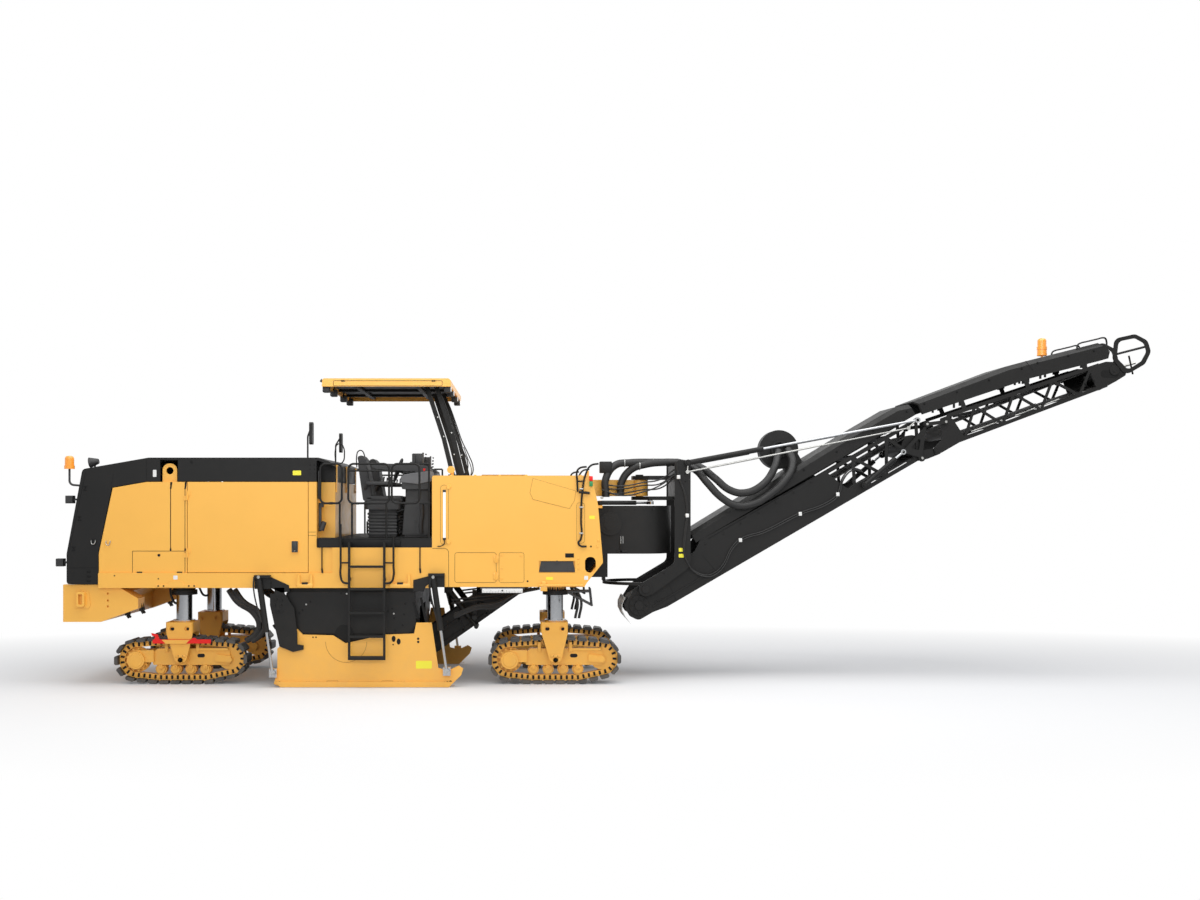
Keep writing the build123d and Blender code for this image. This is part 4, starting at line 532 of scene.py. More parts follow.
# bumper: cast plates and water nozzles
BUMPER_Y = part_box("rear_bumper")[0].y + 0.070
bm = bmesh.new()
plate(bm, [(-7.085, 1.030), (-6.907, 1.030), (-6.880, 1.075), (-6.907, 1.250), (-7.085, 1.250)],
      BUMPER_Y - 0.010, BUMPER_Y + 0.002)
for z in (0.93, 1.26):
    slab(bm, (-7.250, BUMPER_Y + 0.02, z - 0.025), (-7.240, BUMPER_Y + 0.08, z + 0.025), 0.003)
for y in (-0.85, -0.30, 0.25, 0.80):
    slab(bm, (-7.256, y, 1.24), (-7.243, y + 0.06, 1.30), 0.003)
slab(bm, (-7.252, -0.62, 0.90), (-7.243, 0.62, 1.20), 0.004)
place_both("bumper_plates", bm, YELLOW, "chassis", 0.003)
bm = bmesh.new()
for x, z in ((-6.475, 0.975), (-6.285, 1.035)):
    for y in (-1.02, -0.94):
        rod(bm, (x, y, z + 0.05), (x + 0.02, y, z - 0.05), 0.026)
        rod(bm, (x + 0.02, y, z - 0.05), (x + 0.045, y, z - 0.085), 0.014)
        rod(bm, (x - 0.01, y, z + 0.05), (x - 0.045, y, z + 0.13), 0.012)
place_both("rear_nozzles", bm, BLACK, "chassis")


# ------------------------------------------------------------------ front hood
def outline_seam(bm, points, wide, face_y, proud=0.0015):
    """Chain of narrow dark lines through X-Z points."""
    for here, there in zip(points, points[1:]):
        strip(bm, here, there, wide, face_y, proud)


def arc_points(center, radius, start, end, steps=6):
    """X-Z points on an arc, angles in degrees."""
    turns = [math.radians(start + (end - start) * step / steps) for step in range(steps + 1)]
    return [(center[0] + radius * math.cos(turn), center[1] + radius * math.sin(turn)) for turn in turns]


bm = bmesh.new()
DOOR_SEAM = rounded((-2.094, -1.552), (1.375, 1.767), 0.03)
outline_seam(bm, DOOR_SEAM + DOOR_SEAM[:1], 0.004, SIDE_Y)
PANEL_SEAM = rounded((-1.515, -1.188), (1.375, 1.767), 0.03)
outline_seam(bm, PANEL_SEAM + PANEL_SEAM[:1], 0.003, SIDE_Y)
outline_seam(bm, [(-2.388, 1.823)] + arc_points((-2.234, 1.763), 0.06, 90, 0) + [(-2.174, 1.320)], 0.005,
             SIDE_Y)
LED_SEAM = rounded((-2.282, -2.178), (1.875, 2.650), 0.045)
outline_seam(bm, LED_SEAM + LED_SEAM[:1], 0.003, SIDE_Y)
SLANT = [(-1.073, 2.737), (-0.512, 2.573), (-0.529, 2.452), (-0.594, 2.343), (-1.073, 2.464), (-1.109, 2.549)]
outline_seam(bm, SLANT + SLANT[:1], 0.005, SIDE_Y)
RISER = rounded((-0.500, -0.395), (1.890, 2.420), 0.04)
outline_seam(bm, RISER + RISER[:1], 0.003, SIDE_Y)
for x, z in ((-0.379, 1.847), (-0.314, 1.847), (-1.142, 1.392)):
    rod(bm, (x, SIDE_Y, z), (x, SIDE_Y - 0.002, z), 0.012)
slab(bm, (-0.650, SIDE_Y - 0.004, 1.702), (-0.536, SIDE_Y, 1.757), 0.002)
place_both("front_hood_seams", bm, DEEP_BLACK, "chassis")

bm = bmesh.new()
plate(bm, SLANT, SIDE_Y - 0.004, SIDE_Y + 0.001)
for x, z in ((-2.174, 2.626), (-2.174, 1.907)):
    rod(bm, (x, SIDE_Y, z), (x, SIDE_Y - 0.012, z), 0.032, tip=0.028, sides=32)
for z in (1.685, 1.460):
    slab(bm, (-1.590, SIDE_Y - 0.010, z - 0.045), (-1.520, SIDE_Y, z + 0.045), 0.004)
    rod(bm, (-1.555, SIDE_Y - 0.012, z - 0.05), (-1.555, SIDE_Y - 0.012, z + 0.05), 0.012)
for x, z in ((-1.480, 1.733), (-1.230, 1.733), (-1.480, 1.569), (-1.480, 1.424), (-0.215, 1.925),
             (-0.230, 1.850),
             (-0.478, 1.690), (-0.478, 1.625), (-0.478, 1.560)):
    rod(bm, (x, SIDE_Y, z), (x, SIDE_Y - 0.008, z), 0.015, tip=0.012)
slab(bm, (-1.000, SIDE_Y - 0.030, 1.327), (-0.420, SIDE_Y, 1.352), 0.006)
slab(bm, (-0.960, SIDE_Y - 0.028, 1.345), (-0.900, SIDE_Y, 1.392), 0.006)
slab(bm, (-0.975, SIDE_Y - 0.020, 1.262), (-0.885, SIDE_Y + 0.05, 1.330), 0.006)
place_both("front_hood_castings", bm, YELLOW, "chassis", 0.002)

bm = bmesh.new()
plate(bm, rounded((-2.247, -2.213), (1.956, 2.561), 0.012), SIDE_Y - 0.014, SIDE_Y)
place_both("light_strips", bm, LED, "chassis", 0.002)

bm = bmesh.new()
for low, high in ((1.930, 1.962), (2.556, 2.588)):
    slab(bm, (-2.251, SIDE_Y - 0.018, low), (-2.209, SIDE_Y, high), 0.006)
plate(bm, [(-0.995, 1.512), (-0.965, 1.652), (-0.545, 1.652), (-0.520, 1.512)], SIDE_Y + 0.010,
      SIDE_Y + 0.026)
rod(bm, (-0.757, SIDE_Y + 0.012, 1.640), (-0.757, SIDE_Y - 0.004, 1.640), 0.022)
for x in (-0.930, -0.590):
    rod(bm, (x, SIDE_Y + 0.012, 1.545), (x, SIDE_Y + 0.004, 1.545), 0.028)
FRONT_STEP = [((-0.614, 1.252), (-0.330, 1.255)), ((-0.614, 1.242), (-0.299, 1.073)),
              ((-0.323, 1.300), (-0.299, 1.073))]
for start, end in FRONT_STEP:
    for y in (-1.22, -0.98):
        rod(bm, (start[0], y, start[1]), (end[0], y, end[1]), 0.012)
rod(bm, (-0.299, -1.225, 1.078), (-0.299, -0.975, 1.078), 0.014)
place_both("front_hood_fittings", bm, PLASTIC, "chassis", 0.0015)

tubes = []
for sign in (1, -1):
    out_y = SIDE_Y - 0.018
    runs = (
        # outline of each cable or hand tube, then its radius
        ([(-2.230, 1.935), (-2.228, 1.890), (-2.262, 1.858), (-2.319, 1.848)], 0.0065),
        ([(-0.379, 1.847), (-0.452, 1.856), (-0.478, 1.895), (-0.448, 1.940), (-0.444, 2.200),
          (-0.425, 2.573),
          (-0.372, 2.820), (-0.315, 2.905), (-0.215, 2.930)], 0.0125),
        ([(-0.488, 2.560), (-0.493, 2.700), (-0.493, 2.835), (-0.460, 2.872), (-0.370, 2.890)], 0.0125),
        ([(-0.493, 2.700), (-0.415, 2.700)], 0.010),
        ([(-0.470, 2.560), (-0.330, 2.545)], 0.016),
    )
    for run, radius in runs:
        tubes.append(([(x, sign * out_y, z) for x, z in run], radius))
join_tubes("front_hand_tubes", tubes, BLACK, "chassis", 12)
bm = bmesh.new()
for z in (2.02, 2.36, 2.60):
    slab(bm, (-0.465, SIDE_Y - 0.034, z - 0.010), (-0.415, SIDE_Y, z + 0.010), 0.003)
place_both("hand_tube_clips", bm, ZINC, "chassis")
for name, low, finish in (("stop_lever_red", 2.700, RED), ("start_lever_green", 2.632, GREEN)):
    bm = bmesh.new()
    slab(bm, (-0.336, SIDE_Y - 0.040, low), (-0.290, SIDE_Y - 0.006, low + 0.066), 0.008)
    slab(bm, (-0.322, SIDE_Y - 0.010, low + 0.01), (-0.304, SIDE_Y + 0.10, low + 0.03))
    place_both(name, bm, finish, "chassis")
label("level_rule", (-1.738, -1.206), (1.240, 1.296), SIDE_Y + 0.004, PLATE_WHITE)
bm = bmesh.new()
for step in range(26):
    x = -1.725 + step * 0.0203
    slab(bm, (x, SIDE_Y + 0.001, 1.240), (x + 0.003, SIDE_Y + 0.003, 1.262 if step % 5 else 1.276))
slab(bm, (-1.760, SIDE_Y + 0.006, 1.285), (-1.180, SIDE_Y + 0.020, 1.318))
rod(bm, (-1.472, SIDE_Y + 0.003, 1.270), (-1.472, SIDE_Y, 1.270), 0.012)
place_both("level_rule_marks", bm, PLASTIC, "chassis")
label("nose_blank_label", (-0.335, -0.262), (2.205, 2.250), SIDE_Y, PLATE_YELLOW)
label("foot_blank_label", (-0.900, -0.810), (1.410, 1.448), SIDE_Y, PLATE_YELLOW)
label("nose_blank_plate", (-0.402, -0.350), (1.412, 1.462), SIDE_Y, PLATE_WHITE)
bm = bmesh.new()
for x in (-2.15, -1.83, -1.51, -1.16):
    rod(bm, (x, SIDE_Y + 0.06, 2.775), (x, SIDE_Y + 0.06, 2.787), 0.018, tip=0.014)
for y in (-0.95, 0.95):
    slab(bm, (-1.75, y - 0.15, 2.775), (-1.15, y + 0.15, 2.790), 0.006)
for x in (-2.13, -0.35):
    rod(bm, (x, SIDE_Y + 0.10, 2.775), (x, SIDE_Y + 0.10, 2.84), 0.016)
bmesh.ops.create_cone(bm, cap_ends=True, segments=24, radius1=0.05, radius2=0.05, depth=0.03,
                      matrix=Matrix.Translation((-2.150, SIDE_Y + 0.09, 2.852)) @ Matrix.Rotation(math.pi / 2,
                                                                                                  4, "X"))
place_both("front_roof_fittings", bm, YELLOW, "chassis", 0.002)

# ------------------------------------------------------------------ operator's canopy
ROOF_LOW_AT, ROOF_HIGH_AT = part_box("canopy_roof")
ROOF_Y = ROOF_LOW_AT.y
dress_where("canopy_roof", DEEP_BLACK, lambda at, out: out.z < -0.5 and at.z > ROOF_LOW_AT.z + 0.03)
bm = bmesh.new()
GROOVE = rounded((-3.690, -2.262), (ROOF_LOW_AT.z + 0.008, ROOF_LOW_AT.z + 0.075), 0.012)
outline_seam(bm, GROOVE + GROOVE[:1], 0.006, ROOF_Y)
for x in (-3.565, -2.377):
    slab(bm, (x - 0.025, ROOF_Y - 0.006, ROOF_LOW_AT.z + 0.064), (x + 0.025, ROOF_Y, ROOF_LOW_AT.z + 0.082),
         0.003)
both(bm)
for y in (-0.8, 0.0, 0.8):
    slab(bm, (-3.80, y - 0.03, ROOF_LOW_AT.z + 0.035), (-2.20, y + 0.03, ROOF_LOW_AT.z + 0.068), 0.004)
for x in (-3.45, -2.62):
    slab(bm, (x - 0.03, -1.15, ROOF_LOW_AT.z + 0.025), (x + 0.03, 1.15, ROOF_LOW_AT.z + 0.060), 0.004)
place("roof_frame", bm, DEEP_BLACK, "chassis", 0.002)
bm = bmesh.new()
bmesh.ops.create_grid(bm, x_segments=2, y_segments=2, size=0.5)
bmesh.ops.scale(bm, vec=(1.25, 1.9, 1), verts=bm.verts)
bmesh.ops.translate(bm, vec=(-2.99, 0, ROOF_HIGH_AT.z + 0.004), verts=bm.verts)
extruded = bmesh.ops.extrude_face_region(bm, geom=bm.faces[:])["geom"]
bmesh.ops.translate(bm, vec=(0, 0, 0.016),
                    verts=[item for item in extruded if isinstance(item, bmesh.types.BMVert)])
place("roof_crown", bm, YELLOW, "chassis", 0.008)

bm = bmesh.new()
CANOPY_LAMPS = (
    # X, Y, Z and the way each lamp faces along X
    (-3.800, -1.08, 3.925, -1), (-2.200, -1.08, 3.925, 1), (-3.800, -0.45, 3.925, -1),
    (-2.200, -0.45, 3.925, 1),
)
for x, y, z, way in CANOPY_LAMPS:
    slab(bm, (x - 0.045, y - 0.055, z - 0.050), (x + 0.045, y + 0.055, z + 0.045), 0.012)
    rod(bm, (x, y, z + 0.03), (x, y, z + 0.085), 0.012)
rod(bm, (-3.862, ROOF_Y + 0.03, 4.030), (-3.812, ROOF_Y + 0.03, 4.000), 0.022, tip=0.014)
place_both("canopy_lamps", bm, PLASTIC, "chassis", 0.001)
bm = bmesh.new()
for x, y, z, way in CANOPY_LAMPS:
    slab(bm, (x + way * 0.046 - 0.003, y - 0.043, z - 0.038), (x + way * 0.046 + 0.003, y + 0.043, z + 0.033),
         0.002)
place_both("canopy_lamp_lenses", bm, LED, "chassis")

bm = bmesh.new()
POST_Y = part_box("canopy_posts")[0].y + 0.05
for x, z in ((-2.350, 3.570), (-2.165, 3.360), (-2.130, 3.070), (-2.270, 3.310), (-2.030, 3.060),
             (-2.145, 2.915)):
    rod(bm, (x, POST_Y - 0.028, z), (x, POST_Y - 0.040, z), 0.011, tip=0.009, sides=16)
place_both("post_bolts", bm, ZINC, "chassis")
tubes = []
for sign in (1, -1):
    cable = [(-2.000, 2.800), (-1.955, 2.860), (-1.950, 2.960), (-2.010, 3.120), (-2.110, 3.330),
             (-2.190, 3.560),
             (-2.275, 3.800), (-2.330, 3.930)]
    tubes.append(([(x, sign * (POST_Y - 0.015), z) for x, z in cable], 0.009))
    cable = [(-1.985, 2.800), (-1.970, 2.905), (-2.030, 3.090), (-2.085, 3.240)]
    tubes.append(([(x, sign * (POST_Y + 0.02), z) for x, z in cable], 0.007))
join_tubes("canopy_cables", tubes, RUBBER, "chassis", 8)

# ------------------------------------------------------------------ operator's platform
SEAT_X, SEAT_Y = -3.130, (-0.620, 0.620)
for index, y in enumerate(SEAT_Y):
    side = ("right", "left")[index]
    bm = bmesh.new()
    slab(bm, (SEAT_X - 0.19, y - 0.235, 2.445), (SEAT_X + 0.30, y + 0.235, 2.515), 0.028)
    slab(bm, (SEAT_X + 0.18, y - 0.225, 2.425), (SEAT_X + 0.315, y + 0.225, 2.500), 0.030)
    cushion = place("seat_cushion_" + side, bm, VINYL, "chassis")
    bm = bmesh.new()
    plate(bm, [(SEAT_X - 0.185, 2.50), (SEAT_X - 0.090, 2.50), (SEAT_X - 0.185, 3.00), (SEAT_X - 0.235, 3.06),
               (SEAT_X - 0.300, 3.04), (SEAT_X - 0.285, 2.96)], y - 0.215, y + 0.215)
    back = place("seat_back_" + side, bm, VINYL, "chassis", 0.022)
    bm = bmesh.new()
    for arm in (-0.285, 0.285):
        slab(bm, (SEAT_X - 0.17, y + arm - 0.032, 2.655), (SEAT_X + 0.17, y + arm + 0.032, 2.705), 0.014)
        rod(bm, (SEAT_X - 0.15, y + arm, 2.67), (SEAT_X - 0.19, y + arm * 0.84, 2.60), 0.018)
    for step in range(7):
        low = 1.985 + step * 0.045
        slab(bm, (SEAT_X - 0.165 + 0.004 * (step % 2), y - 0.185, low),
             (SEAT_X + 0.235 - 0.004 * (step % 2), y + 0.185, low + 0.032), 0.006)
    rod(bm, (SEAT_X + 0.24, y - 0.20, 2.30), (SEAT_X + 0.33, y - 0.22, 2.33), 0.009)
    for step in range(5):
        x = SEAT_X + 0.02 + 0.045 * step
        rod(bm, (x, y - 0.295, 2.705), (x + 0.008, y - 0.30, 2.755 + 0.012 * (step % 2)), 0.008, tip=0.012)
    place("seat_arms_" + side, bm, PLASTIC, "chassis", 0.001)

for index, y in enumerate((-0.64, 0.64)):
    side = ("right", "left")[index]
    bm = bmesh.new()
    plate(bm,
          [(-2.850, 2.690), (-2.830, 2.770), (-2.780, 2.800), (-2.440, 2.845), (-2.425, 2.700),
           (-2.600, 2.665)],
          y - 0.315, y + 0.315)
    place("console_desk_" + side, bm, GREY_PLASTIC, "chassis", 0.012)
    bm = bmesh.new()
    plate(bm,
          [(-3.240, 2.905), (-3.190, 2.945), (-2.560, 2.935), (-2.460, 2.890), (-2.440, 2.850),
           (-2.700, 2.838),
               (-3.060, 2.862), (-3.160, 2.868)], y - 0.25, y - 0.05)
    slab(bm, (-2.700, y - 0.10, 2.930), (-2.560, y + 0.14, 3.085), 0.012)
    rod(bm, (-2.600, y, 2.93), (-2.560, y + 0.02, 3.10), 0.012)
    for step in range(4):
        rod(bm, (-2.565 + 0.008 * step, y + 0.16, 2.94 + 0.045 * step),
            (-2.530, y + 0.16, 2.955 + 0.045 * step), 0.011)
    plate(bm, [(-2.800, 2.280), (-2.755, 2.600), (-2.480, 2.620), (-2.455, 1.990), (-2.820, 1.990)],
          y - 0.225, y - 0.19)
    for step in range(4):
        rod(bm, (-2.80 + 0.07 * step, y - 0.22, 2.80 + 0.012 * step),
            (-2.81 + 0.07 * step, y - 0.22, 2.875 + 0.012 * step),
            0.011, tip=0.016)
    rod(bm, (-2.640, y - 0.235, 2.180), (-2.640, y - 0.228, 2.180), 0.018)
    tubes_low = [(-2.560, 2.400), (-2.555, 2.25), (-2.570, 2.14), (-2.565, 2.02)]
    add_tube(bm, [(x, y - 0.245, z) for x, z in tubes_low], 0.028, 12, 4)
    place("console_fittings_" + side, bm, PLASTIC, "chassis", 0.003)
    bm = bmesh.new()
    slab(bm, (-2.703, y - 0.085, 2.950), (-2.699, y + 0.125, 3.070), 0.001)
    place("console_screen_" + side, bm, DEEP_BLACK, "chassis")
    bm = bmesh.new()
    rod(bm, (-2.520, y - 0.28, 2.842), (-2.520, y - 0.28, 2.875), 0.022, tip=0.026)
    place("console_stop_knob_" + side, bm, RED, "chassis", 0.003)
    bm = bmesh.new()
    ring = [(-2.90 + 0.055 * math.cos(turn) * 1.0, y + 0.16 * math.sin(turn), 2.86 + 0.15 * math.cos(turn))
            for turn in (math.radians(24 * step) for step in range(16))]
    add_tube(bm, ring, 0.014, 8, 2)
    rod(bm, (-2.90, y, 2.86), (-2.79, y, 2.80), 0.016)
    for turn in (math.radians(30 + 120 * step) for step in range(3)):
        rod(bm, (-2.90, y, 2.86),
            (-2.90 + 0.053 * math.cos(turn), y + 0.155 * math.sin(turn), 2.86 + 0.145 * math.cos(turn)),
            0.008)
    place("steering_wheel_" + side, bm, PLASTIC, "chassis")

bm = bmesh.new()
DECK_EDGE_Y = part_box("platform")[0].y
strip(bm, (-3.890, DECK_TOP - 0.012), (-2.396, DECK_TOP - 0.012), 0.004, DECK_EDGE_Y)
strip(bm, (-3.890, DECK_TOP - 0.116), (-2.396, DECK_TOP - 0.116), 0.006, DECK_EDGE_Y)
for x in (-3.455, -3.390, -2.990, -2.930):
    rod(bm, (x, DECK_EDGE_Y, 1.905), (x, DECK_EDGE_Y - 0.006, 1.905), 0.012)
slab(bm, (-3.560, DECK_EDGE_Y - 0.014, 1.845), (-2.800, DECK_EDGE_Y, 1.940), 0.010)
slab(bm, (-3.890, DECK_EDGE_Y - 0.010, 1.850), (-3.880, DECK_EDGE_Y, 1.940), 0.003)
both(bm)
for step in range(9):
    y = -0.96 + step * 0.24
    slab(bm, (-3.66, y - 0.10, DECK_TOP + 0.001), (-2.42, y + 0.10, DECK_TOP + 0.008), 0.003)
place("deck_edge_and_treads", bm, DEEP_BLACK, "chassis", 0.001)
bm = bmesh.new()
for x in (-3.831, -2.549):
    rod(bm, (x, SIDE_Y - 0.006, 1.840), (x, SIDE_Y - 0.006, 1.560), 0.008)
    rod(bm, (x, SIDE_Y - 0.006, 1.560), (x + 0.006, SIDE_Y - 0.006, 1.500), 0.013, tip=0.010)
place_both("hanging_rods", bm, BLACK, "chassis")
# handrails beside the ladder
LADDER_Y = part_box("ladders")[0].y + 0.035
tubes = []
for sign in (1, -1):
    y = sign * LADDER_Y
    for x, inner, top in ((-3.575, -3.470, 2.140), (-2.887, -3.000, 1.985)):
        bend = 0.09 if inner > x else -0.09
        tubes.append(([(x, y, top), (x, y, 1.60), (x, y, 1.460), (x + bend * 0.35, y, 1.385),
                       (inner, y, 1.367)], 0.014))
        tubes.append(([(x, y, 1.637), (inner, y, 1.637)], 0.011))
        tubes.append(([(x, y, 1.900), (x, sign * (SIDE_Y + 0.02), 1.900)], 0.012))
join_tubes("ladder_handrails", tubes, BLACK, "chassis", 12)
# ring handles on the house's front edge
tubes = []
for sign in (1, -1):
    ring = [(-3.690, 2.950), (-3.692, 3.120), (-3.668, 3.190), (-3.620, 3.200), (-3.583, 3.150),
            (-3.572, 3.060),
            (-3.590, 2.965), (-3.640, 2.930)]
    tubes.append(([(x, sign * -1.02, z) for x, z in ring], 0.009))
join_tubes("house_front_rings", tubes, BLACK, "engine_hood", 10)
# shock-absorbing pads and grab straps at the house's front wall
bm = bmesh.new()
slab(bm, (-3.900, -1.175, 2.470), (-3.880, -1.010, 2.840), 0.006)
slab(bm, (-3.895, -1.160, 2.040), (-3.855, -1.120, 2.400), 0.012)
rod(bm, (-3.860, -1.130, 2.360), (-3.860, -1.130, 2.420), 0.035)
rod(bm, (-3.860, -1.150, 2.060), (-3.815, -1.150, 2.170), 0.040, tip=0.030)
place_both("house_front_fittings", bm, PLASTIC, "chassis", 0.002)

dress_where("rear_lamps", AMBER, lambda at, out: at.x < -7.03 and at.z > 2.86)

# ------------------------------------------------------------------ cutter side
GUARD_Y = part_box("cutter_side_walls")[0].y
PLATE_Y = -1.215  # outer face of a side plate
REAR_ARM = ((-4.511, 1.230), (-4.318, 1.230), (-4.194, 1.037), (-4.153, 0.706), (-4.153, 0.568),
            (-4.071, 0.554),
            (-4.071, 0.499), (-4.208, 0.466), (-4.387, 0.540), (-4.511, 1.078))
REAR_HANGER = ((-4.70, 1.40), (-4.66, 1.475), (-4.54, 1.467), (-4.263, 1.340), (-4.255, 1.257),
               (-4.36, 1.243),
               (-4.52, 1.312), (-4.60, 1.33))
FRONT_HANGER = ((-2.640, 1.257), (-2.636, 1.409), (-2.560, 1.428), (-2.350, 1.483), (-2.310, 1.450),
                (-2.474, 1.326),
                (-2.502, 1.257))
bm = bmesh.new()
plate(bm, REAR_ARM, -1.258, -1.246)
slab(bm, (-4.45, -1.262, 1.20), (-4.32, -1.246, 1.31))
plate(bm, REAR_HANGER, -1.262, -1.251)
plate(bm, FRONT_HANGER, -1.262, -1.251)
bolt_heads(bm, ((-4.43, 1.15), (-4.36, 1.15), (-4.45, 1.08), (-4.37, 1.08), (-4.41, 1.0), (-4.36, 1.0)),
           -1.258, 0.017)
place_both("cutter_arm_plates", bm, BLACK, "chassis", 0.004)

GUARD_BOLTS = ((-4.14, 0.973), (-4.098, 1.009), (-3.994, 1.119), (-3.589, 1.230), (-2.92, 1.031),
               (-2.975, 0.995),
               (-2.893, 0.904), (-2.749, 1.092), (-2.763, 0.954), (-2.782, 0.811), (-2.879, 0.739))
bm = bmesh.new()
for x, z in GUARD_BOLTS:
    rod(bm, (x, GUARD_Y, z), (x, GUARD_Y - 0.004, z), 0.016, sides=6)
rod(bm, (-3.55, GUARD_Y, 0.70), (-3.55, GUARD_Y - 0.003, 0.70), 0.12, sides=48)
rod(bm, (-3.55, GUARD_Y, 0.70), (-3.55, GUARD_Y - 0.004, 0.70), 0.045, sides=24)
for start, end in (((-2.639, 1.119), (-2.584, 0.899)), ((-2.543, 1.174), (-2.474, 0.857))):
    strip(bm, start, end, 0.034, GUARD_Y, 0.004)
place_both("cutter_guard_fittings", bm, DEEP_BLACK, "chassis")

bm = bmesh.new()
for x, z in ((-3.517, 1.224), (-4.051, 1.083), (-2.90, 0.962)):
    rod(bm, (x, GUARD_Y, z), (x, GUARD_Y - 0.004, z), 0.012, sides=16)
for x in (-4.646, -2.372):
    rod(bm, (x, -1.262, 1.45), (x, -1.340, 1.45), 0.020)
place_both("cutter_guard_pins", bm, ZINC, "chassis", 0.002)

for side, sign in (("right", 1), ("left", -1)):
    body = "side_plate_" + side
    dress_where(body, CHROME, lambda at, out: abs(at.y) > 1.262 and at.z < 1.35)
    turn = Matrix.Diagonal((1, sign, 1, 1))

    bm = bmesh.new()
    outline_seam(bm, arc_points((-3.52, 0.596), 0.27, 180, 360, 16), 0.006, PLATE_Y)
    for x in (-4.04, -4.005, -3.97, -3.90, -3.865, -2.84, -2.80, -2.76):
        strip(bm, (x, 0.030), (x, 0.080), 0.005, PLATE_Y)
    for x in (-3.70, -2.98):
        outline_seam(bm, [(x - 0.09, 0.035), (x - 0.07, 0.085), (x + 0.07, 0.085), (x + 0.09, 0.035)], 0.005,
                     PLATE_Y)
    strip(bm, (-4.45, 0.024), (-2.10, 0.024), 0.006, PLATE_Y)
    place_turned(turn, "side_plate_seams_" + side, bm, SHADE_YELLOW, body)

    # painted shade: deep-black ovals and discs on the side plate stand in for the shade inside its holes and
    # slots
    bm = bmesh.new()
    for x, z, wide, high in ((-2.898, 0.635, 0.026, 0.040), (-2.832, 0.600, 0.026, 0.040)):
        plate(bm,
              [(x + wide * math.cos(k * math.pi / 10),
                z + high * math.sin(k * math.pi / 10)) for k in range(20)],
              PLATE_Y - 0.0015, PLATE_Y)
    for x, z, size in ((-2.576, 0.637, 0.016), (-2.576, 0.595, 0.016), (-3.955, 0.656, 0.010),
                       (-3.915, 0.656, 0.010),
                       (-2.905, 0.560, 0.010)):
        rod(bm, (x, PLATE_Y, z), (x, PLATE_Y - 0.0015, z), size)
    place_turned(turn, "side_plate_hole_shade_" + side, bm, DEEP_BLACK, body)

    bm = bmesh.new()
    bolts = ((-4.395, 0.060), (-4.355, 0.052), (-4.315, 0.044), (-2.232, 0.058), (-2.193, 0.063),
             (-2.152, 0.070))
    bolt_heads(bm, bolts, PLATE_Y, 0.014, 0.006)
    place_turned(turn, "side_plate_bolts_" + side, bm, DEEP_BLACK, body)

    bm = bmesh.new()
    for x, z in ((-4.464, 0.19), (-2.196, 0.215)):
        rod(bm, (x, PLATE_Y, z), (x, -1.335, z), 0.019)
    place_turned(turn, "side_plate_pins_" + side, bm, ZINC, body, 0.002)

    bm = bmesh.new()
    rod(bm, (-4.10, PLATE_Y, 0.637), (-4.10, PLATE_Y - 0.006, 0.637), 0.033)
    place_turned(turn, "side_plate_boss_" + side, bm, CAST_YELLOW, body, 0.002)

    bm = bmesh.new()
    plate(bm, rounded((-2.606, -2.397), (0.245, 0.347), 0.010), PLATE_Y - 0.001, PLATE_Y)
    place_turned(turn, "side_plate_label_" + side, bm, PLATE_YELLOW, body)

tubes = []
for foot, head in (((-4.66, 1.40), (-4.56, 0.80)), ((-2.36, 1.40), (-2.27, 0.82))):
    (x0, z0), (x1, z1) = foot, head
    for x, out in ((0.0, -1.318), (-0.012, -1.282)):
        run = [(x0 + x - 0.045, out, z0 + 0.05), (x0 + x - 0.050, out, z0 - 0.10),
               (x1 + x - 0.048, out, z1 + 0.06)]
        tubes += [(run, 0.008), (mirrored_y(run), 0.008)]
join_tubes("plate_cylinder_hoses", tubes, RUBBER, "chassis", 8)

# ------------------------------------------------------------------ track units
SPROCKET, IDLER, CARRIER, ROLLER_Z = (-0.612, 0.318, 0.168), (0.612, 0.335, 0.146), (0.0, 0.458, 0.075), 0.192
CHAIN_OUT, HUB_OUT, FRAME_OUT, CHEEK_OUT, YOKE_OUT = 0.055, 0.142, 0.076, 0.190, 0.195
ROLLERS = (-0.297, -0.098, 0.101, 0.300)
TRACK_Y = -0.8  # middle of a right-hand track
LEG_FRONT_X, LEG_REAR_X = -0.770, -5.755
YOKE_HOLE_FLOOR = -0.970


def chain_line():
    """Closed line through the middle of the track's links, as evenly spaced points with their directions."""
    points = []
    for x, z, radius in (SPROCKET, IDLER, CARRIER, (ROLLERS[0], ROLLER_Z, 0.075),
                         (ROLLERS[-1], ROLLER_Z, 0.075)):
        for step in range(60):
            angle = math.tau * step / 60
            points.append((x + (radius + 0.035) * math.cos(angle), z + (radius + 0.035) * math.sin(angle)))
    loop = [Vector(points[index]) for index in convex_hull_2d(points)]
    loop.append(loop[0])
    lengths = [(b - a).length for a, b in zip(loop, loop[1:])]
    count = round(sum(lengths) / 0.075)
    line, done, index = [], 0.0, 0
    for step in range(count):
        goal = sum(lengths) * step / count
        while done + lengths[index] < goal:
            done += lengths[index]
            index += 1
        way = (loop[index + 1] - loop[index]).normalized()
        line.append((loop[index] + way * (goal - done), way))
    return line


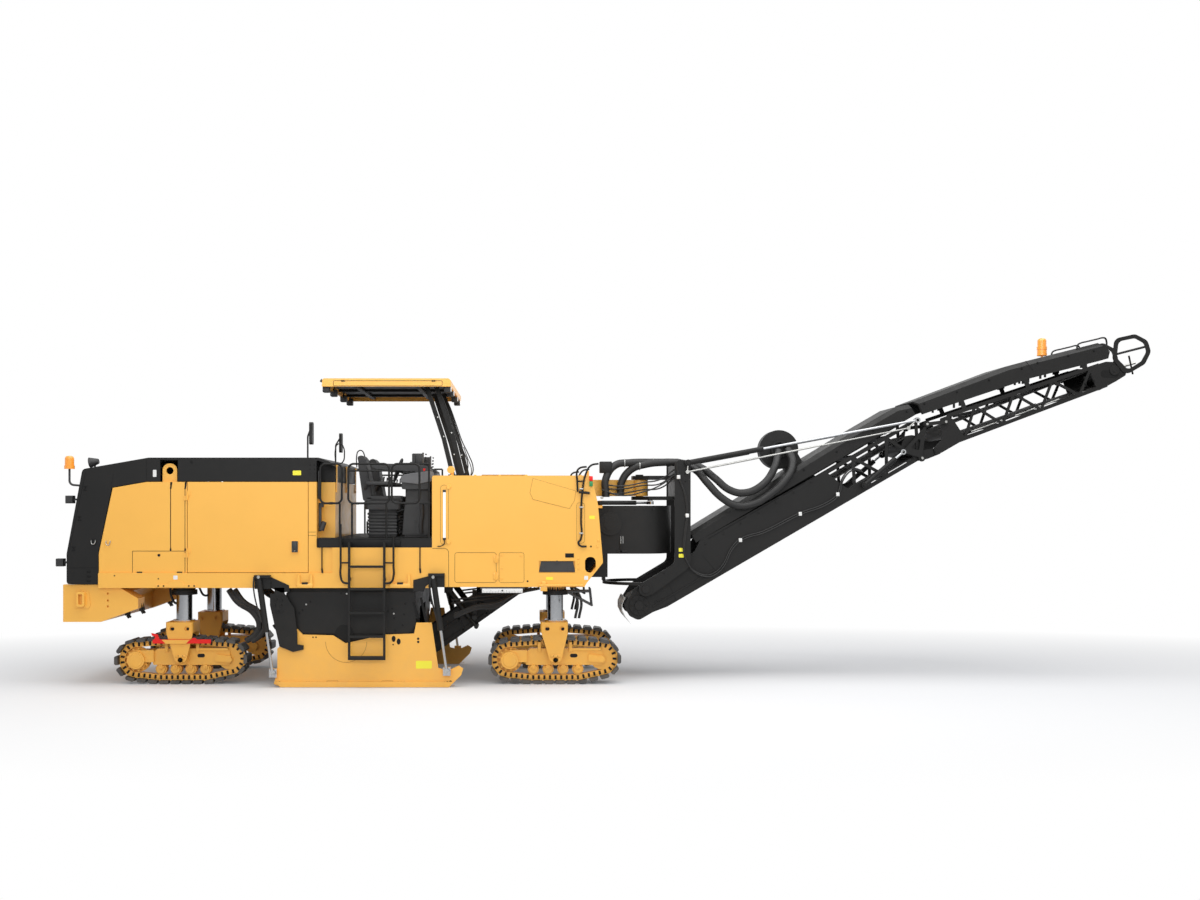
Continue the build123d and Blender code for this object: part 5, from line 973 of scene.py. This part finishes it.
CHAIN = chain_line()
for unit in ("front_right", "rear_right", "front_left", "rear_left"):
    body = "track_unit_" + unit
    dress_where("track_" + unit, CAST_YELLOW, lambda at,
                out: abs(abs(at.y) - 0.8) < 0.058 and abs(out.y) > 0.5)
    leg_x = LEG_FRONT_X if "front" in unit else LEG_REAR_X
    sign = 1 if "right" in unit else -1
    turn = Matrix.Translation((leg_x, 0, 0)) @ Matrix.Diagonal((1, sign, 1, 1))

    # painted shade: deep-black patches on both chain faces stand in for the shade in the gaps between links
    bm = bmesh.new()
    for face, out in ((TRACK_Y - CHAIN_OUT, -0.0025), (TRACK_Y + CHAIN_OUT, 0.0025)):
        for at, way in CHAIN:
            across = Vector((way.y, -way.x))
            corners = [at + way * a * 0.014 + across * b * 0.027 for a,
                       b in ((-1, -1), (1, -1), (1, 1), (-1, 1))]
            plate(bm, [tuple(corner) for corner in corners], min(face, face + out), max(face, face + out))
    place_turned(turn, "chain_gap_shade_" + unit, bm, DEEP_BLACK, body)

    bm = bmesh.new()
    for face, out in ((TRACK_Y - CHAIN_OUT, -0.008), (TRACK_Y + CHAIN_OUT, 0.008)):
        for at, way in CHAIN:
            at = at + way * 0.0375
            rod(bm, (at.x, face, at.y), (at.x, face + out, at.y), 0.017, sides=12)
    place_turned(turn, "chain_pins_" + unit, bm, CAST_YELLOW, body)

    bm = bmesh.new()
    hub = TRACK_Y - HUB_OUT
    rod(bm, (SPROCKET[0], hub, SPROCKET[1]), (SPROCKET[0], hub - 0.006, SPROCKET[1]), 0.092, tip=0.086,
        sides=40)
    tips = []
    for step in range(13):
        for shift, reach in ((-0.25, 0.132), (-0.12, 0.160), (0.12, 0.160), (0.25, 0.132)):
            angle = math.tau * (step + shift) / 13
            tips.append((SPROCKET[0] + reach * math.cos(angle), SPROCKET[1] + reach * math.sin(angle)))
    plate(bm, tips, TRACK_Y - 0.070, TRACK_Y - 0.048)
    for step in range(12):
        angle = math.tau * step / 12
        x, z = SPROCKET[0] + 0.122 * math.cos(angle), SPROCKET[1] + 0.122 * math.sin(angle)
        rod(bm, (x, -0.87, z), (x, -0.880, z), 0.009, sides=6)
    for x in ROLLERS:
        rod(bm, (x, TRACK_Y - FRAME_OUT + 0.01, 0.222), (x, TRACK_Y - FRAME_OUT - 0.016, 0.222), 0.036,
            tip=0.032)
        rod(bm, (x, TRACK_Y - FRAME_OUT - 0.014, 0.222), (x, TRACK_Y - FRAME_OUT - 0.024, 0.222), 0.014,
            sides=6)
        rod(bm, (x, TRACK_Y - CHAIN_OUT, ROLLER_Z), (x, TRACK_Y - CHAIN_OUT - 0.020, ROLLER_Z), 0.060,
            tip=0.056)
    slab(bm, (0.205, TRACK_Y - FRAME_OUT - 0.020, 0.440), (0.610, TRACK_Y - FRAME_OUT + 0.010, 0.478), 0.006)
    for x in (-0.215, 0.200):
        slab(bm, (x - 0.022, TRACK_Y - FRAME_OUT - 0.022, 0.425),
             (x + 0.022, TRACK_Y - FRAME_OUT + 0.010, 0.560), 0.006)
    slab(bm, (-0.070, TRACK_Y - CHEEK_OUT - 0.008, 0.362), (0.070, TRACK_Y - CHEEK_OUT + 0.004, 0.405), 0.008)
    rod(bm, (0, TRACK_Y - CHEEK_OUT, 0.330), (0, TRACK_Y - CHEEK_OUT - 0.012, 0.330), 0.040, tip=0.036)
    place_turned(turn, "undercarriage_fittings_" + unit, bm, CAST_YELLOW, body, 0.002)

    # painted shade: deep-black sheets on the floors of the yoke recesses, on the frame face and on the cheek
    # stand in for the shade inside these holes
    bm = bmesh.new()
    plate(bm, rounded((0.195, 0.295), (0.350, 0.400), 0.024), TRACK_Y - FRAME_OUT - 0.002,
          TRACK_Y - FRAME_OUT)
    rod(bm, (0, TRACK_Y - CHEEK_OUT - 0.012, 0.330), (0, TRACK_Y - CHEEK_OUT - 0.014, 0.330), 0.014)
    for x in (-0.105, 0.105):
        plate(bm, rounded((x - 0.032, x + 0.032), (0.721, 0.759), 0.018), YOKE_HOLE_FLOOR - 0.002,
              YOKE_HOLE_FLOOR)
    for x in (-0.028, 0.028):
        rod(bm, (x, TRACK_Y - CHEEK_OUT - 0.008, 0.384), (x, TRACK_Y - CHEEK_OUT - 0.0095, 0.384), 0.006)
    place_turned(turn, "undercarriage_hole_shade_" + unit, bm, DEEP_BLACK, body)

    if "rear" in unit:
        bm = bmesh.new()
        out = TRACK_Y - YOKE_OUT
        plate(bm,
              [(-0.367, 0.550), (-0.367, 0.600), (-0.345, 0.606), (-0.330, 0.640), (-0.375, 0.655),
               (-0.385, 0.690),
                   (-0.300, 0.672), (-0.272, 0.605), (0.150, 0.605), (0.165, 0.625), (0.205, 0.625),
                   (0.220, 0.605),
                   (0.409, 0.605), (0.409, 0.550)], out - 0.014, out)
        place_turned(turn, "scraper_bar_" + unit, bm, RED, body, 0.003)

        bm = bmesh.new()
        plate(bm, [(-0.245, 0.600), (0.130, 0.600), (0.075, 0.545), (-0.190, 0.545)], out - 0.020,
              out - 0.002)
        place_turned(turn, "scraper_bar_clamp_" + unit, bm, CAST_YELLOW, body, 0.004)

GUIDE_FLOOR = 1.304
for node in ("main_frame", "front_frame"):
    dress_where(node, BLACK, lambda at,
                out: at.z < GUIDE_FLOOR and (abs(at.x - LEG_REAR_X) < 0.4 or abs(at.x - LEG_FRONT_X) < 0.4))
tubes = []
for offset, radius in ((0.0, 0.042), (0.075, 0.042)):
    run = [(-5.136 + offset, -0.90, 1.262), (-5.02 + offset, -0.90, 1.10), (-4.80 + offset, -0.92, 0.95),
           (-4.72 + offset, -0.93, 0.78), (-4.78 + offset, -0.92, 0.66), (-4.90 + offset, -0.90, 0.575)]
    tubes += [(run, radius), (mirrored_y(run), radius)]
loop = [(-5.97, -0.72, 1.28), (-5.95, -0.73, 1.16), (-5.87, -0.74, 1.06), (-5.80, -0.73, 1.12),
        (-5.79, -0.72, 1.28)]
tubes += [(loop, 0.016), (mirrored_y(loop), 0.016)]
for bend in (0.0, 0.05):
    run = [(-0.56 + bend, -0.70, 1.28), (-0.47 + bend, -0.71, 1.10), (-0.50 + bend, -0.72, 0.86)]
    tubes += [(run, 0.018), (mirrored_y(run), 0.018)]
join_tubes("track_motor_hoses", tubes, RUBBER, "chassis")

# ------------------------------------------------------------------ between cutter and front tracks
COLLECT_Y = -0.415  # outer face of the collecting conveyor's side
bm = bmesh.new()
for start, end, wide in (((-2.38, 0.62), (-1.20, 1.45), 0.030), ((-2.28, 0.50), (-1.25, 1.22), 0.030),
                         ((-2.10, 0.86), (-2.02, 0.66), 0.024), ((-1.78, 1.09), (-1.70, 0.89), 0.024),
                         ((-1.46, 1.31), (-1.38, 1.12), 0.024)):
    strip(bm, start, end, wide, COLLECT_Y, 0.028)
bolt_heads(bm, ((-2.24, 0.78), (-2.16, 0.62), (-1.94, 0.95), (-1.86, 0.80), (-1.62, 1.18), (-1.54, 1.02)),
           COLLECT_Y, 0.016)
both(bm)
for sign in (1, -1):
    rod(bm, (-2.22, sign * 0.62, 1.24), (-1.93, sign * 0.62, 0.86), 0.042)
    rod(bm, (-1.93, sign * 0.62, 0.86), (-1.84, sign * 0.62, 0.74), 0.020)
    rod(bm, (-1.84, sign * 0.40, 0.74), (-1.84, sign * 0.66, 0.74), 0.030)
    slab(bm, (-1.89, min(sign * 0.66, sign * 0.72), 0.86), (-1.83, max(sign * 0.66, sign * 0.72), 1.24),
         0.006)
    slab(bm, (-2.27, min(sign * 0.55, sign * 0.70), 1.20), (-2.16, max(sign * 0.55, sign * 0.70), 1.30),
         0.006)
    rod(bm, (-1.86, sign * 0.64, 0.87), (-1.86, sign * 0.76, 0.87), 0.036, sides=6)
place("conveyor_carrier", bm, BLACK, "chassis", 0.003)
tubes = []
for shift, radius in ((0.0, 0.022), (0.055, 0.018), (0.105, 0.022)):
    run = [(-0.98 - shift, -0.92, 1.28), (-1.30 - shift, -0.93, 1.205 - shift / 2),
           (-1.55, -0.94, 1.085 - shift / 2),
           (-1.82, -0.95, 1.045 - shift / 3), (-2.12, -0.96, 0.93 - shift / 3)]
    tubes += [(run, radius), (mirrored_y(run), radius)]
for shift in (0.0, 0.045):
    run = [(-1.34, -0.88, 1.28), (-1.50, -0.89, 1.205 - shift), (-1.80, -0.90, 1.165 - shift),
           (-2.16, -0.90, 1.12 - shift)]
    tubes += [(run, 0.014), (mirrored_y(run), 0.014)]
join_tubes("drum_water_hoses", tubes, RUBBER, "chassis", 8)

# ------------------------------------------------------------------ slewing conveyor
MAST_OUT, BOOM_OUT, UPPER_OUT, STAY_Y = -0.520, -0.440, -0.466, -0.565
bm = bmesh.new()
for radius, out in ((0.160, 0.030), (0.125, 0.034), (0.090, 0.040)):
    rod(bm, (-0.01, -0.36, 2.131), (-0.01, -0.44 - out, 2.131), radius, sides=48)
slab(bm, (0.12, -0.452, 1.74), (0.155, -0.400, 1.98), 0.004)
slab(bm, (0.08, -0.452, 1.735), (0.23, -0.400, 1.765), 0.004)
slab(bm, (-0.15, -0.37, 2.83), (0.02, -0.25, 2.99), 0.012)
bolt_heads(bm, ((0.20, 2.33), (0.33, 2.33), (0.46, 2.33), (0.59, 2.33)), -0.44, 0.010, 0.006)
place("hopper_side_fittings", bm, BLACK, "chassis", 0.003)
bm = bmesh.new()
for x in (0.135, 0.165):
    slab(bm, (x - 0.004, -0.455, 1.86), (x + 0.004, -0.451, 1.96))
rod(bm, (-0.115, -0.28, 2.49), (-0.115, -0.34, 2.49), 0.020)
place("hopper_pins", bm, ZINC, "chassis")

DUCTS = (
    ("front", [(-0.062, -0.32, 2.50), (-0.060, -0.32, 2.76), (0.070, -0.30, 2.94), (0.264, -0.26, 2.975),
               (0.600, -0.20, 2.985), (0.944, -0.14, 2.985)], "chassis", "slew_frame", (0.10, -0.25, 2.95),
               (0.80, -0.2, 2.98)),
    ("rear", [(0.146, -0.23, 2.52), (0.160, -0.23, 2.70), (0.290, -0.25, 2.88), (0.502, -0.28, 2.955),
              (0.731, -0.30, 2.98), (0.944, -0.30, 2.98)], "chassis", "slew_frame", (0.20, -0.25, 2.95),
              (0.80, -0.3, 2.98)),
    ("fan_upper",
     [(0.944, -0.14, 2.985), (1.24, -0.33, 2.91), (1.42, -0.47, 2.76), (1.62, -0.505, 2.595),
      (1.82, -0.505, 2.555),
                   (2.05, -0.50, 2.65), (2.24, -0.40, 2.87), (2.35, -0.20, 3.14)], "slew_frame", "lower_boom",
     (1.05, -0.2, 2.95), (2.10, -0.5, 2.70)),
    ("fan_lower",
     [(0.944, -0.30, 2.98), (1.17, -0.41, 2.87), (1.31, -0.49, 2.70), (1.51, -0.505, 2.49),
      (1.71, -0.505, 2.385),
                   (1.93, -0.505, 2.40), (2.13, -0.505, 2.505), (2.40, -0.50, 2.75), (2.51, -0.36, 2.97),
                   (2.48, -0.20, 3.16)],
     "slew_frame", "lower_boom", (1.05, -0.4, 2.95), (2.20, -0.5, 2.60)),
)
for name, run, first, last, start, end in DUCTS:
    mesh = tube_mesh("dust_duct_" + name, run, 0.052, 20, 8)
    duct = link_mesh("dust_duct_" + name, mesh, RUBBER, None)
    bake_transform(duct)
bm = bmesh.new()
for x, y, z in ((0.20, -0.272, 2.97), (0.41, -0.270, 2.93), (0.60, -0.24, 2.985)):
    rod(bm, (x - 0.004, y, z), (x + 0.004, y, z), 0.058, sides=24)
clamps = place("duct_clamps", bm, ZINC, None)
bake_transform(clamps)
for index, (y, z,
            low) in enumerate(((-0.27, 2.62, 2.56), (-0.30, 2.56, 2.50), (-0.33, 2.68, 2.60),
                               (-0.36, 2.60, 2.47))):
    run = [(-0.12, y, z), (0.15, y - 0.01, low + 0.05), (0.45, y - 0.03, low + 0.10),
           (0.68, y - 0.05, z + 0.06), (0.87, -0.45, z + 0.20)]
    hose = link_mesh(f"slew_hose_{index}", tube_mesh("slew_hose", run, 0.011, 8), RUBBER, None)
    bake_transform(hose)

MAST_HOSE = [(0.880, 2.985), (0.914, 2.787), (1.000, 2.536), (1.030, 2.258), (0.998, 2.007), (0.989, 1.728),
             (1.03, 1.62),
             (1.12, 1.50), (1.26, 1.435), (1.40, 1.450), (1.53, 1.565), (1.65, 1.80), (1.77, 1.922),
             (2.094, 2.035),
             (2.598, 2.285), (2.934, 2.411), (3.10, 2.537), (3.185, 2.780), (3.310, 2.890), (3.44, 2.865)]
for shift in (0.0, 0.024):
    run = []
    for step, (x, z) in enumerate(MAST_HOSE):
        y = -0.536 if x < 1.1 else -0.500 if x < 1.3 else -0.456
        run.append((x + shift * 0.6, y, z - shift * 0.9))
    name = "boom_line_upper" if shift == 0 else "boom_line_lower"
    hose = link_mesh(name, tube_mesh(name, run, 0.0105, 8), RUBBER, None)
    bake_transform(hose)
for body, spots, y in (("slew_frame", ((0.918, 2.775), (1.036, 2.250)), -0.552),
                       ("lower_boom", ((1.775, 1.912), (2.595, 2.272), (3.110, 2.540)), -0.472)):
    bm = bmesh.new()
    for x, z in spots:
        slab(bm, (x - 0.022, y, z - 0.030), (x + 0.022, y + 0.034, z + 0.022), 0.005)
    place("hose_clips_" + body, bm, PLATE_WHITE, body)

for z_pair in ((1.672, 1.722), (1.752, 1.802)):
    label(f"mast_label_{round(z_pair[0] * 100)}", (0.922, 0.992), z_pair, MAST_OUT, PLATE_YELLOW,
          "slew_frame")
bm = bmesh.new()
rod(bm, (0.470, -0.535, 1.238), (0.470, -0.560, 1.238), 0.055)
bolt_heads(bm, [(0.470 + 0.085 * math.cos(a), 1.238 + 0.085 * math.sin(a)) for a in (0.4, 1.6, 2.8)],
           MAST_OUT, 0.014)
bolt_heads(bm, ((0.90, 2.93), (0.90, 2.85), (1.02, 2.72), (0.60, 1.40), (0.72, 1.47)), MAST_OUT, 0.012)
place_both("mast_fittings", bm, BLACK, "slew_frame", 0.002)

bm = bmesh.new()
rod(bm, (0.384, BOOM_OUT, 1.012), (0.384, -0.462, 1.012), 0.135, sides=40)
rod(bm, (0.384, -0.462, 1.012), (0.384, -0.490, 1.012), 0.062, sides=32)
bolt_heads(bm,
           [(0.384 + 0.105 * math.cos(k * math.tau / 8),
             1.012 + 0.105 * math.sin(k * math.tau / 8)) for k in range(8)], -0.462, 0.013)
for start, end, wide in (((0.57, 0.995), (1.42, 1.50), 0.020), ((0.60, 1.06), (0.72, 1.10), 0.012)):
    strip(bm, start, end, wide, BOOM_OUT, 0.012)
rise = Vector((math.cos(math.radians(30.2)), math.sin(math.radians(30.2))))
for step in range(8):
    at = Vector((1.30, 1.862)) + rise * (0.28 * step)
    bolt_heads(bm, ((at.x, at.y),), BOOM_OUT, 0.012)
place_both("boom_side_fittings", bm, BLACK, "lower_boom", 0.002)
# dark seam lines, plus painted shade: the wider deep-black strips along the boom stand in for the shade
# inside its slots
bm = bmesh.new()
for start, end in (((0.795, 1.304), (0.893, 1.094)), ((1.257, 1.697), (1.425, 1.500)),
                   ((1.425, 1.500), (1.50, 1.452)),
                   ((0.893, 1.094), (0.62, 0.95))):
    strip(bm, start, end, 0.008, BOOM_OUT)
for first, last in ((0.06, 0.66), (0.72, 1.18), (1.24, 1.60), (1.68, 2.10)):
    start, end = Vector((1.285, 1.895)) + rise * first, Vector((1.285, 1.895)) + rise * last
    strip(bm, start, end, 0.016, BOOM_OUT, 0.002)
place_both("boom_side_seams_and_slot_shade", bm, DEEP_BLACK, "lower_boom")

flap = [(0.190, 1.110), (0.150, 1.020), (0.150, 0.930), (0.195, 0.840), (0.285, 0.745)]
bm = bmesh.new()
outer = [(x, z) for x, z in flap]
inner = [(x + 0.012, z + 0.006) for x, z in reversed(flap[:-1])]
plate(bm, outer + inner, -0.40, 0.40)
place("tail_flap", bm, FLAP_GREY, "lower_boom")

bm = bmesh.new()
bolt_heads(bm, ((4.064, 3.671), (3.60, 3.41), (3.10, 3.12), (2.65, 2.87), (2.20, 2.61), (1.80, 2.36)),
           BOOM_OUT, 0.012, 0.008)
place_both("lower_cover_bolts", bm, DEEP_BLACK, "lower_boom")
bm = bmesh.new()
bolt_heads(bm,
           ((4.295, 3.778), (4.743, 3.939), (5.184, 4.101), (5.629, 4.260), (5.846, 4.335), (6.267, 4.436),
            (6.62, 4.500)),
           UPPER_OUT, 0.012, 0.008)
strip(bm, (5.681, 4.364), (5.782, 4.240), 0.008, UPPER_OUT)
plate(bm, rounded((6.715, 6.960), (4.135, 4.240), 0.045), UPPER_OUT - 0.002, UPPER_OUT)
bolt_heads(bm, ((6.489, 4.133), (6.504, 4.050), (6.576, 4.162), (6.619, 4.085)), UPPER_OUT, 0.012)
place_both("upper_cover_bolts", bm, DEEP_BLACK, "upper_boom")
bm = bmesh.new()
rod(bm, (6.900, UPPER_OUT, 4.235), (6.900, -0.478, 4.235), 0.066, sides=32)
rod(bm, (6.900, -0.476, 4.235), (6.900, -0.482, 4.235), 0.034, sides=6)
for x, low, high in ((4.705, 3.72, 3.87), (4.785, 3.75, 3.90), (5.650, 4.05, 4.20), (5.725, 4.07, 4.22),
                     (5.890, 4.12, 4.25),
                     (5.955, 4.14, 4.27), (6.450, 4.27, 4.39), (6.515, 4.29, 4.41)):
    slab(bm, (x - 0.014, -0.462, low), (x + 0.014, -0.440, high), 0.003)
place_both("upper_boom_straps", bm, BLACK, "upper_boom", 0.002)
rail = [(6.405, 4.545), (6.420, 4.592), (6.460, 4.616), (6.530, 4.633), (6.610, 4.652), (6.690, 4.671),
        (6.755, 4.687),
        (6.795, 4.680), (6.812, 4.640), (6.815, 4.575)]
rail = [(x, -0.42, z) for x, z in rail]
join_tubes("cover_hand_rail", [(rail, 0.012), (mirrored_y(rail), 0.012)], BLACK, "upper_boom", 8)
bm = bmesh.new()
for x0, z0, x1, z1 in ((4.96, 3.400, 5.39, 3.558), (5.565, 3.620, 6.17, 3.848)):
    rod(bm, (x0, -0.40, z0), (x1, -0.40, z1), 0.008, sides=10)
rod(bm, (7.010, -0.40, 4.285), (7.215, -0.40, 4.345), 0.018, sides=20)
place_both("boom_bright_rods", bm, ZINC, "upper_boom")
bm = bmesh.new()
strip(bm, (7.150, 4.180), (7.095, 4.436), 0.022, UPPER_OUT, 0.012)
place_both("head_guard_clamps", bm, BLACK, "upper_boom", 0.003)

for body, spots in (("upper_boom", ((4.580, 3.527),)), ("fold_crank", ((4.325, 3.497), (3.978, 3.123))),
                    ("lower_boom", ((4.256, 3.031),))):
    bm = bmesh.new()
    for x, z in spots:
        rod(bm, (x, -0.47, z), (x, -0.514, z), 0.017)
    place_both("fold_pins_" + body, bm, ZINC, body, 0.002)
# telescoping stay under each lift cylinder
STAY_BACK, STAY_FRONT = Vector((1.035, STAY_Y, 2.840)), Vector((4.045, STAY_Y, 3.437))
for name, body, start, end, radius, eye in (
    ("stay_tubes", "lift_barrels", STAY_BACK, STAY_BACK.lerp(STAY_FRONT, 0.56), 0.0125, STAY_BACK),
    ("stay_rods", "lift_rods", STAY_BACK.lerp(STAY_FRONT, 0.26), STAY_FRONT, 0.0100, STAY_FRONT),
):
    bm = bmesh.new()
    rod(bm, start, end, radius, sides=16)
    rod(bm, eye - Vector((0, 0.020, 0)), eye + Vector((0, 0.020, 0)), 0.026)
    pin = (1.044, 2.966) if eye is STAY_BACK else (4.151, 3.547)
    rod(bm, eye, (pin[0], STAY_Y, pin[1]), 0.011, sides=16)
    place_both(name, bm, ZINC, body, 0.0015)
bm = bmesh.new()
rod(bm, (6.097, 0, 4.490), (6.097, 0, 4.612), 0.067, tip=0.062, sides=32)
place("beacon_skirt", bm, AMBER, "upper_boom", 0.003)


# ------------------------------------------------------------------ camera, light and floor
def camera():
    data = bpy.data.cameras.new("view")
    data.lens = 37.5
    data.sensor_width = 36.0
    data.shift_x = 0.0583
    data.shift_y = 0.0458
    data.clip_end = 200.0
    eye = bpy.data.objects.new("view", data)
    eye.location = (-1.110, -17.6, 2.39)
    eye.rotation_euler = (math.pi / 2, 0, 0)
    bpy.context.scene.collection.objects.link(eye)
    bpy.context.scene.camera = eye


def area_light(name, at, aim, size, power):
    data = bpy.data.lights.new(name, "AREA")
    data.shape = "RECTANGLE"
    data.size, data.size_y = size
    data.energy = power
    lamp = bpy.data.objects.new(name, data)
    lamp.location = at
    lamp.rotation_euler = (Vector(aim) - Vector(at)).to_track_quat("-Z", "Y").to_euler()
    bpy.context.scene.collection.objects.link(lamp)
    lamp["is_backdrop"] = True


def world():
    """White where it is seen or mirrored, soft grey as a light."""
    scene_world = bpy.data.worlds.new("studio")
    bpy.context.scene.world = scene_world
    scene_world.use_nodes = True
    tree = scene_world.node_tree
    tree.nodes.clear()
    path = tree.nodes.new("ShaderNodeLightPath")
    seen = tree.nodes.new("ShaderNodeBackground")
    seen.inputs["Color"].default_value = (1, 1, 1, 1)
    seen.inputs["Strength"].default_value = 1.0
    fill = tree.nodes.new("ShaderNodeBackground")
    fill.inputs["Color"].default_value = (0.93, 0.95, 1.0, 1)
    fill.inputs["Strength"].default_value = 0.62
    either = path.outputs["Is Camera Ray"]
    for ray in ("Is Glossy Ray", "Is Transmission Ray"):
        larger = tree.nodes.new("ShaderNodeMath")
        larger.operation = "MAXIMUM"
        tree.links.new(either, larger.inputs[0])
        tree.links.new(path.outputs[ray], larger.inputs[1])
        either = larger.outputs["Value"]
    mix = tree.nodes.new("ShaderNodeMixShader")
    tree.links.new(either, mix.inputs["Fac"])
    tree.links.new(fill.outputs["Background"], mix.inputs[1])
    tree.links.new(seen.outputs["Background"], mix.inputs[2])
    out = tree.nodes.new("ShaderNodeOutputWorld")
    tree.links.new(mix.outputs["Shader"], out.inputs["Surface"])


FLOOR_GLOW = 0.06  # the floor's own light, seen by the camera alone


def floor():
    """Pale floor with the machine's real shadows, plus a painted soft shadow: grey near the machine, fading
    to white further out.
    """
    bm = bmesh.new()
    bmesh.ops.create_grid(bm, x_segments=1, y_segments=1, size=60.0)
    mesh = bpy.data.meshes.new("floor")
    bm.to_mesh(mesh)
    bm.free()
    ground = bpy.data.objects.new("floor", mesh)
    bpy.context.scene.collection.objects.link(ground)
    ground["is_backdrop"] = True
    material, tree, shader, place_out = node_tree("pale_floor")
    shader.inputs["Base Color"].default_value = (0.66, 0.66, 0.66, 1)
    shader.inputs["Roughness"].default_value = 1.0
    shader.inputs["Specular IOR Level"].default_value = 0.0
    path = tree.nodes.new("ShaderNodeLightPath")
    glow = tree.nodes.new("ShaderNodeEmission")
    lift = tree.nodes.new("ShaderNodeMath")
    lift.operation = "MULTIPLY"
    lift.inputs[1].default_value = FLOOR_GLOW
    tree.links.new(path.outputs["Is Camera Ray"], lift.inputs[0])
    tree.links.new(lift.outputs["Value"], glow.inputs["Strength"])
    both_shaders = tree.nodes.new("ShaderNodeAddShader")
    tree.links.new(shader.outputs["BSDF"], both_shaders.inputs[0])
    tree.links.new(glow.outputs["Emission"], both_shaders.inputs[1])
    # painted soft shadow: inside an ellipse around the machine the camera sees the floor's grey lit tone,
    # which fades to white outside it
    squeeze = tree.nodes.new("ShaderNodeVectorMath")
    squeeze.operation = "MULTIPLY"
    squeeze.inputs[1].default_value = (0.075, 0.16, 0.0)
    tree.links.new(place_out, squeeze.inputs[0])
    reach = tree.nodes.new("ShaderNodeVectorMath")
    reach.operation = "LENGTH"
    tree.links.new(squeeze.outputs["Vector"], reach.inputs[0])
    fade = spread(tree, reach.outputs["Value"], 0.0, 1.0, 0.45, 1.15)
    seen = tree.nodes.new("ShaderNodeMath")
    seen.operation = "MULTIPLY"
    tree.links.new(fade, seen.inputs[0])
    tree.links.new(path.outputs["Is Camera Ray"], seen.inputs[1])
    white = tree.nodes.new("ShaderNodeEmission")
    faded = tree.nodes.new("ShaderNodeMixShader")
    tree.links.new(seen.outputs["Value"], faded.inputs["Fac"])
    tree.links.new(both_shaders.outputs["Shader"], faded.inputs[1])
    tree.links.new(white.outputs["Emission"], faded.inputs[2])
    tree.links.new(faded.outputs["Shader"], tree.nodes["Material Output"].inputs["Surface"])
    mesh.materials.append(material)


camera()
world()
floor()
area_light("overhead", (0.5, -2.5, 9.5), (0.5, 0, 0), (18, 7), 1150)
area_light("front_soft", (-1.0, -14.0, 6.5), (0.0, 0, 1.6), (16, 5), 620)

bpy.context.scene.view_settings.view_transform = "Standard"

size = {"cad": [list(corner) for corner in CAD_BOX], "shown": [list(corner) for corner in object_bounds()]}
